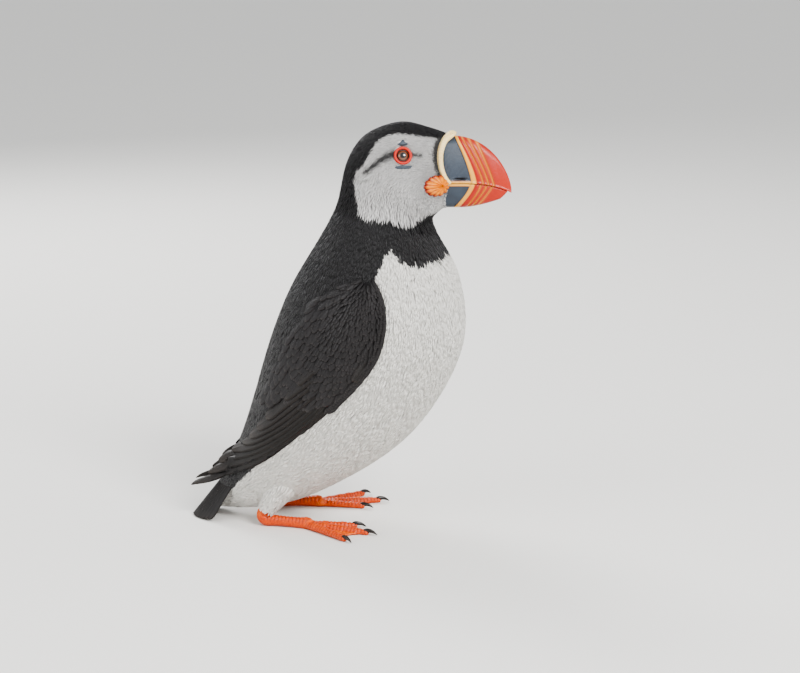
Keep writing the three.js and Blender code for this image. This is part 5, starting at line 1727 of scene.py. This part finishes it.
# Duller and browner where the skin faces down.
underside_brown = math_node(tree, "MULTIPLY", relief_field[2], 0.35)
orange = mix_colours(tree, underside_brown, orange, linear(120, 60, 34))
seams = map_range(tree, grains.outputs["Distance"], 0.3, 0.75, 0.0, 0.5)
orange = mix_colours(tree, seams, orange, linear(160, 48, 14))
tree.links.new(orange, shader.inputs["Base Color"])
height = math_node(tree, "SUBTRACT", 1.0, grains.outputs["Distance"])
bump(tree, shader, height, 0.6, 0.0003)
foot_relief = np.stack([groove, web_share, sole], 1)
for side, sign in (("right", 1), ("left", -1)):
    sets = [limb_faces] if sign > 0 else turned([limb_faces])
    piece = make_piece(
        "leg_and_foot_" + side, limb_points * (1, sign, 1), sets, foot_material, {"foot_relief": foot_relief}
    )
    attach(piece, "root")
    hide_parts("leg_" + side, "foot_" + side)

# The thighs: soft white feathers that hang from the belly round each leg, down to the heel. They
# are rooted in a sleeve of skin that lies close to the leg.
THIGH_STATIONS = (
    (*(HEEL + (13, 0.5, 27)), 9.0, 9.0), (*(HEEL + (8.5, 0.4, 20)), 7.4, 7.4),
    (*(HEEL + (3.6, 0.2, 13)), 5.9, 5.9), (*(HEEL + (0.2, 0, 7.5)), 4.6, 4.7),
)
THIGH_ROWS = 30
THIGH_SIDES = 36
thigh_path, thigh_radii = resampled(THIGH_STATIONS, THIGH_ROWS)
thigh_rings = sweep(thigh_path, thigh_radii, THIGH_SIDES, side_guide)[0]
thigh_chart = Chart(thigh_rings, True)
outwards = np.sum(thigh_chart.fields[..., 3:6] * (thigh_rings - thigh_path[:, None]))
thigh_chart.fields[..., 3:6] *= np.sign(outwards)


def thigh_gap(row, column, points):
    """The least gap between roots on a thigh, 0 at the heel."""
    return np.where(row < THIGH_ROWS - 5, 0.95, 0)


row, column = spread_roots(thigh_chart, thigh_gap)
size = np.interp(row, [0, THIGH_ROWS - 6], [7.0, 4.0]) * chance.uniform(0.9, 1.1, len(row))
thigh_locks = lay_vanes(
    thigh_chart, row, column, size, size * 0.25, LOCK, thickness=0.12, sink=1.0,
    lift=chance.uniform(-0.05, 0.2, len(row)), turn=chance.normal(0, 0.16, len(row)), flow=1,
)
white_marks = np.tile((1.0, 0.0, 0.0), (len(row), 1))
bake_places = unwrap_place(thigh_locks[:, 0].mean(1))
for side, locks, section, places in both_sides(thigh_locks, RIDGED, bake_places):
    piece = feather_piece("feathers_thigh_" + side, locks, LOCK, section, white_marks, places, body_material)

# Claws: black horn, curved and sharp, with a flat underside. One is set in the end of each of the
# three front toes, and there is no hind toe.
CLAW_LENGTH = 7.2
CLAW_GRID = (40, 20)  # rows along it, and points in each
CLAW_INSET = 2.2  # how far its root lies inside the toe
claw_material, tree, shader = new_material("claw_horn", 0.3, Specular_IOR_Level=0.5)
horn_colour = mix_colours(tree, noise(tree, 300, 3), linear(16, 13, 12), linear(44, 36, 32))
tree.links.new(horn_colour, shader.inputs["Base Color"])
bump(tree, shader, noise(tree, 900, 3), 0.3, 0.0001)
for name, (length, angle) in TOES.items():
    share = np.linspace(0, 1, CLAW_GRID[0])
    path = FOOT_ROOT + (length - CLAW_INSET + share[:, None] * CLAW_LENGTH) * toe_heading(angle)
    path[:, 2] = 2.15 + 0.75 * np.sin(np.pi * share * 0.8) - 1.95 * share**2.2
    girth = 1.45 * (1 - share) ** 0.62 * (0.8 + 0.2 * step_between(0, 0.2, share)) + 0.05
    rings = sweep(path, np.stack([girth * 0.78, girth], 1), CLAW_GRID[1], side_guide)[0]
    rings[..., 2] = np.maximum(rings[..., 2], 0.02)
    for side, sign in (("right", 1), ("left", -1)):
        sets = closed_tube(*CLAW_GRID)
        if sign < 0:
            sets = turned(sets)
        places = (rings * (1, sign, 1)).reshape(-1, 3)
        piece = make_piece("claw_horn_" + name + "_" + side, places, sets, claw_material)
        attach(piece, "root")
        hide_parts("claw_" + name + "_" + side)

# ---- Studio ----
# A plain pale floor, open all round, in soft light from three large panels and a pale sky. None of
# it is part of the model.
FLOOR = 12.0  # metres, half its side
floor_mesh = bpy.data.meshes.new("floor")
floor_mesh.from_pydata(
    [(-FLOOR, -FLOOR, 0), (FLOOR, -FLOOR, 0), (FLOOR, FLOOR, 0), (-FLOOR, FLOOR, 0)], [], [(0, 1, 2, 3)]
)
floor = bpy.data.objects.new("floor", floor_mesh)
bpy.context.scene.collection.objects.link(floor)
floor_material, tree, shader = new_material("floor", 0.9)
shader.inputs["Base Color"].default_value = linear(226, 224, 220)
floor_mesh.materials.append(floor_material)

SKY = (0.96, 0.98, 1.0, 1)
SKY_STRENGTH = 0.85
world = bpy.data.worlds.new("world")
world.use_nodes = True
background = world.node_tree.nodes["Background"]
background.inputs["Color"].default_value = SKY
background.inputs["Strength"].default_value = SKY_STRENGTH
bpy.context.scene.world = world
bpy.context.scene.view_settings.look = "AgX - Medium High Contrast"
PANELS = {  # place in metres, size in metres, watts
    "key_panel": ((0.9, -1.1, 1.1), 0.7, 34),
    "fill_panel": ((-1.2, -0.9, 0.7), 1.0, 8),
    "back_panel": ((-0.7, 1.1, 1.0), 0.7, 16),
}
for name, (place, size, watts) in PANELS.items():
    light = bpy.data.lights.new(name, "AREA")
    light.size = size
    light.energy = watts
    panel = bpy.data.objects.new(name, light)
    panel.location = place
    to_bird = CAMERA_AIM - Vector(place)
    panel.rotation_euler = to_bird.to_track_quat("-Z", "Y").to_euler()
    bpy.context.scene.collection.objects.link(panel)
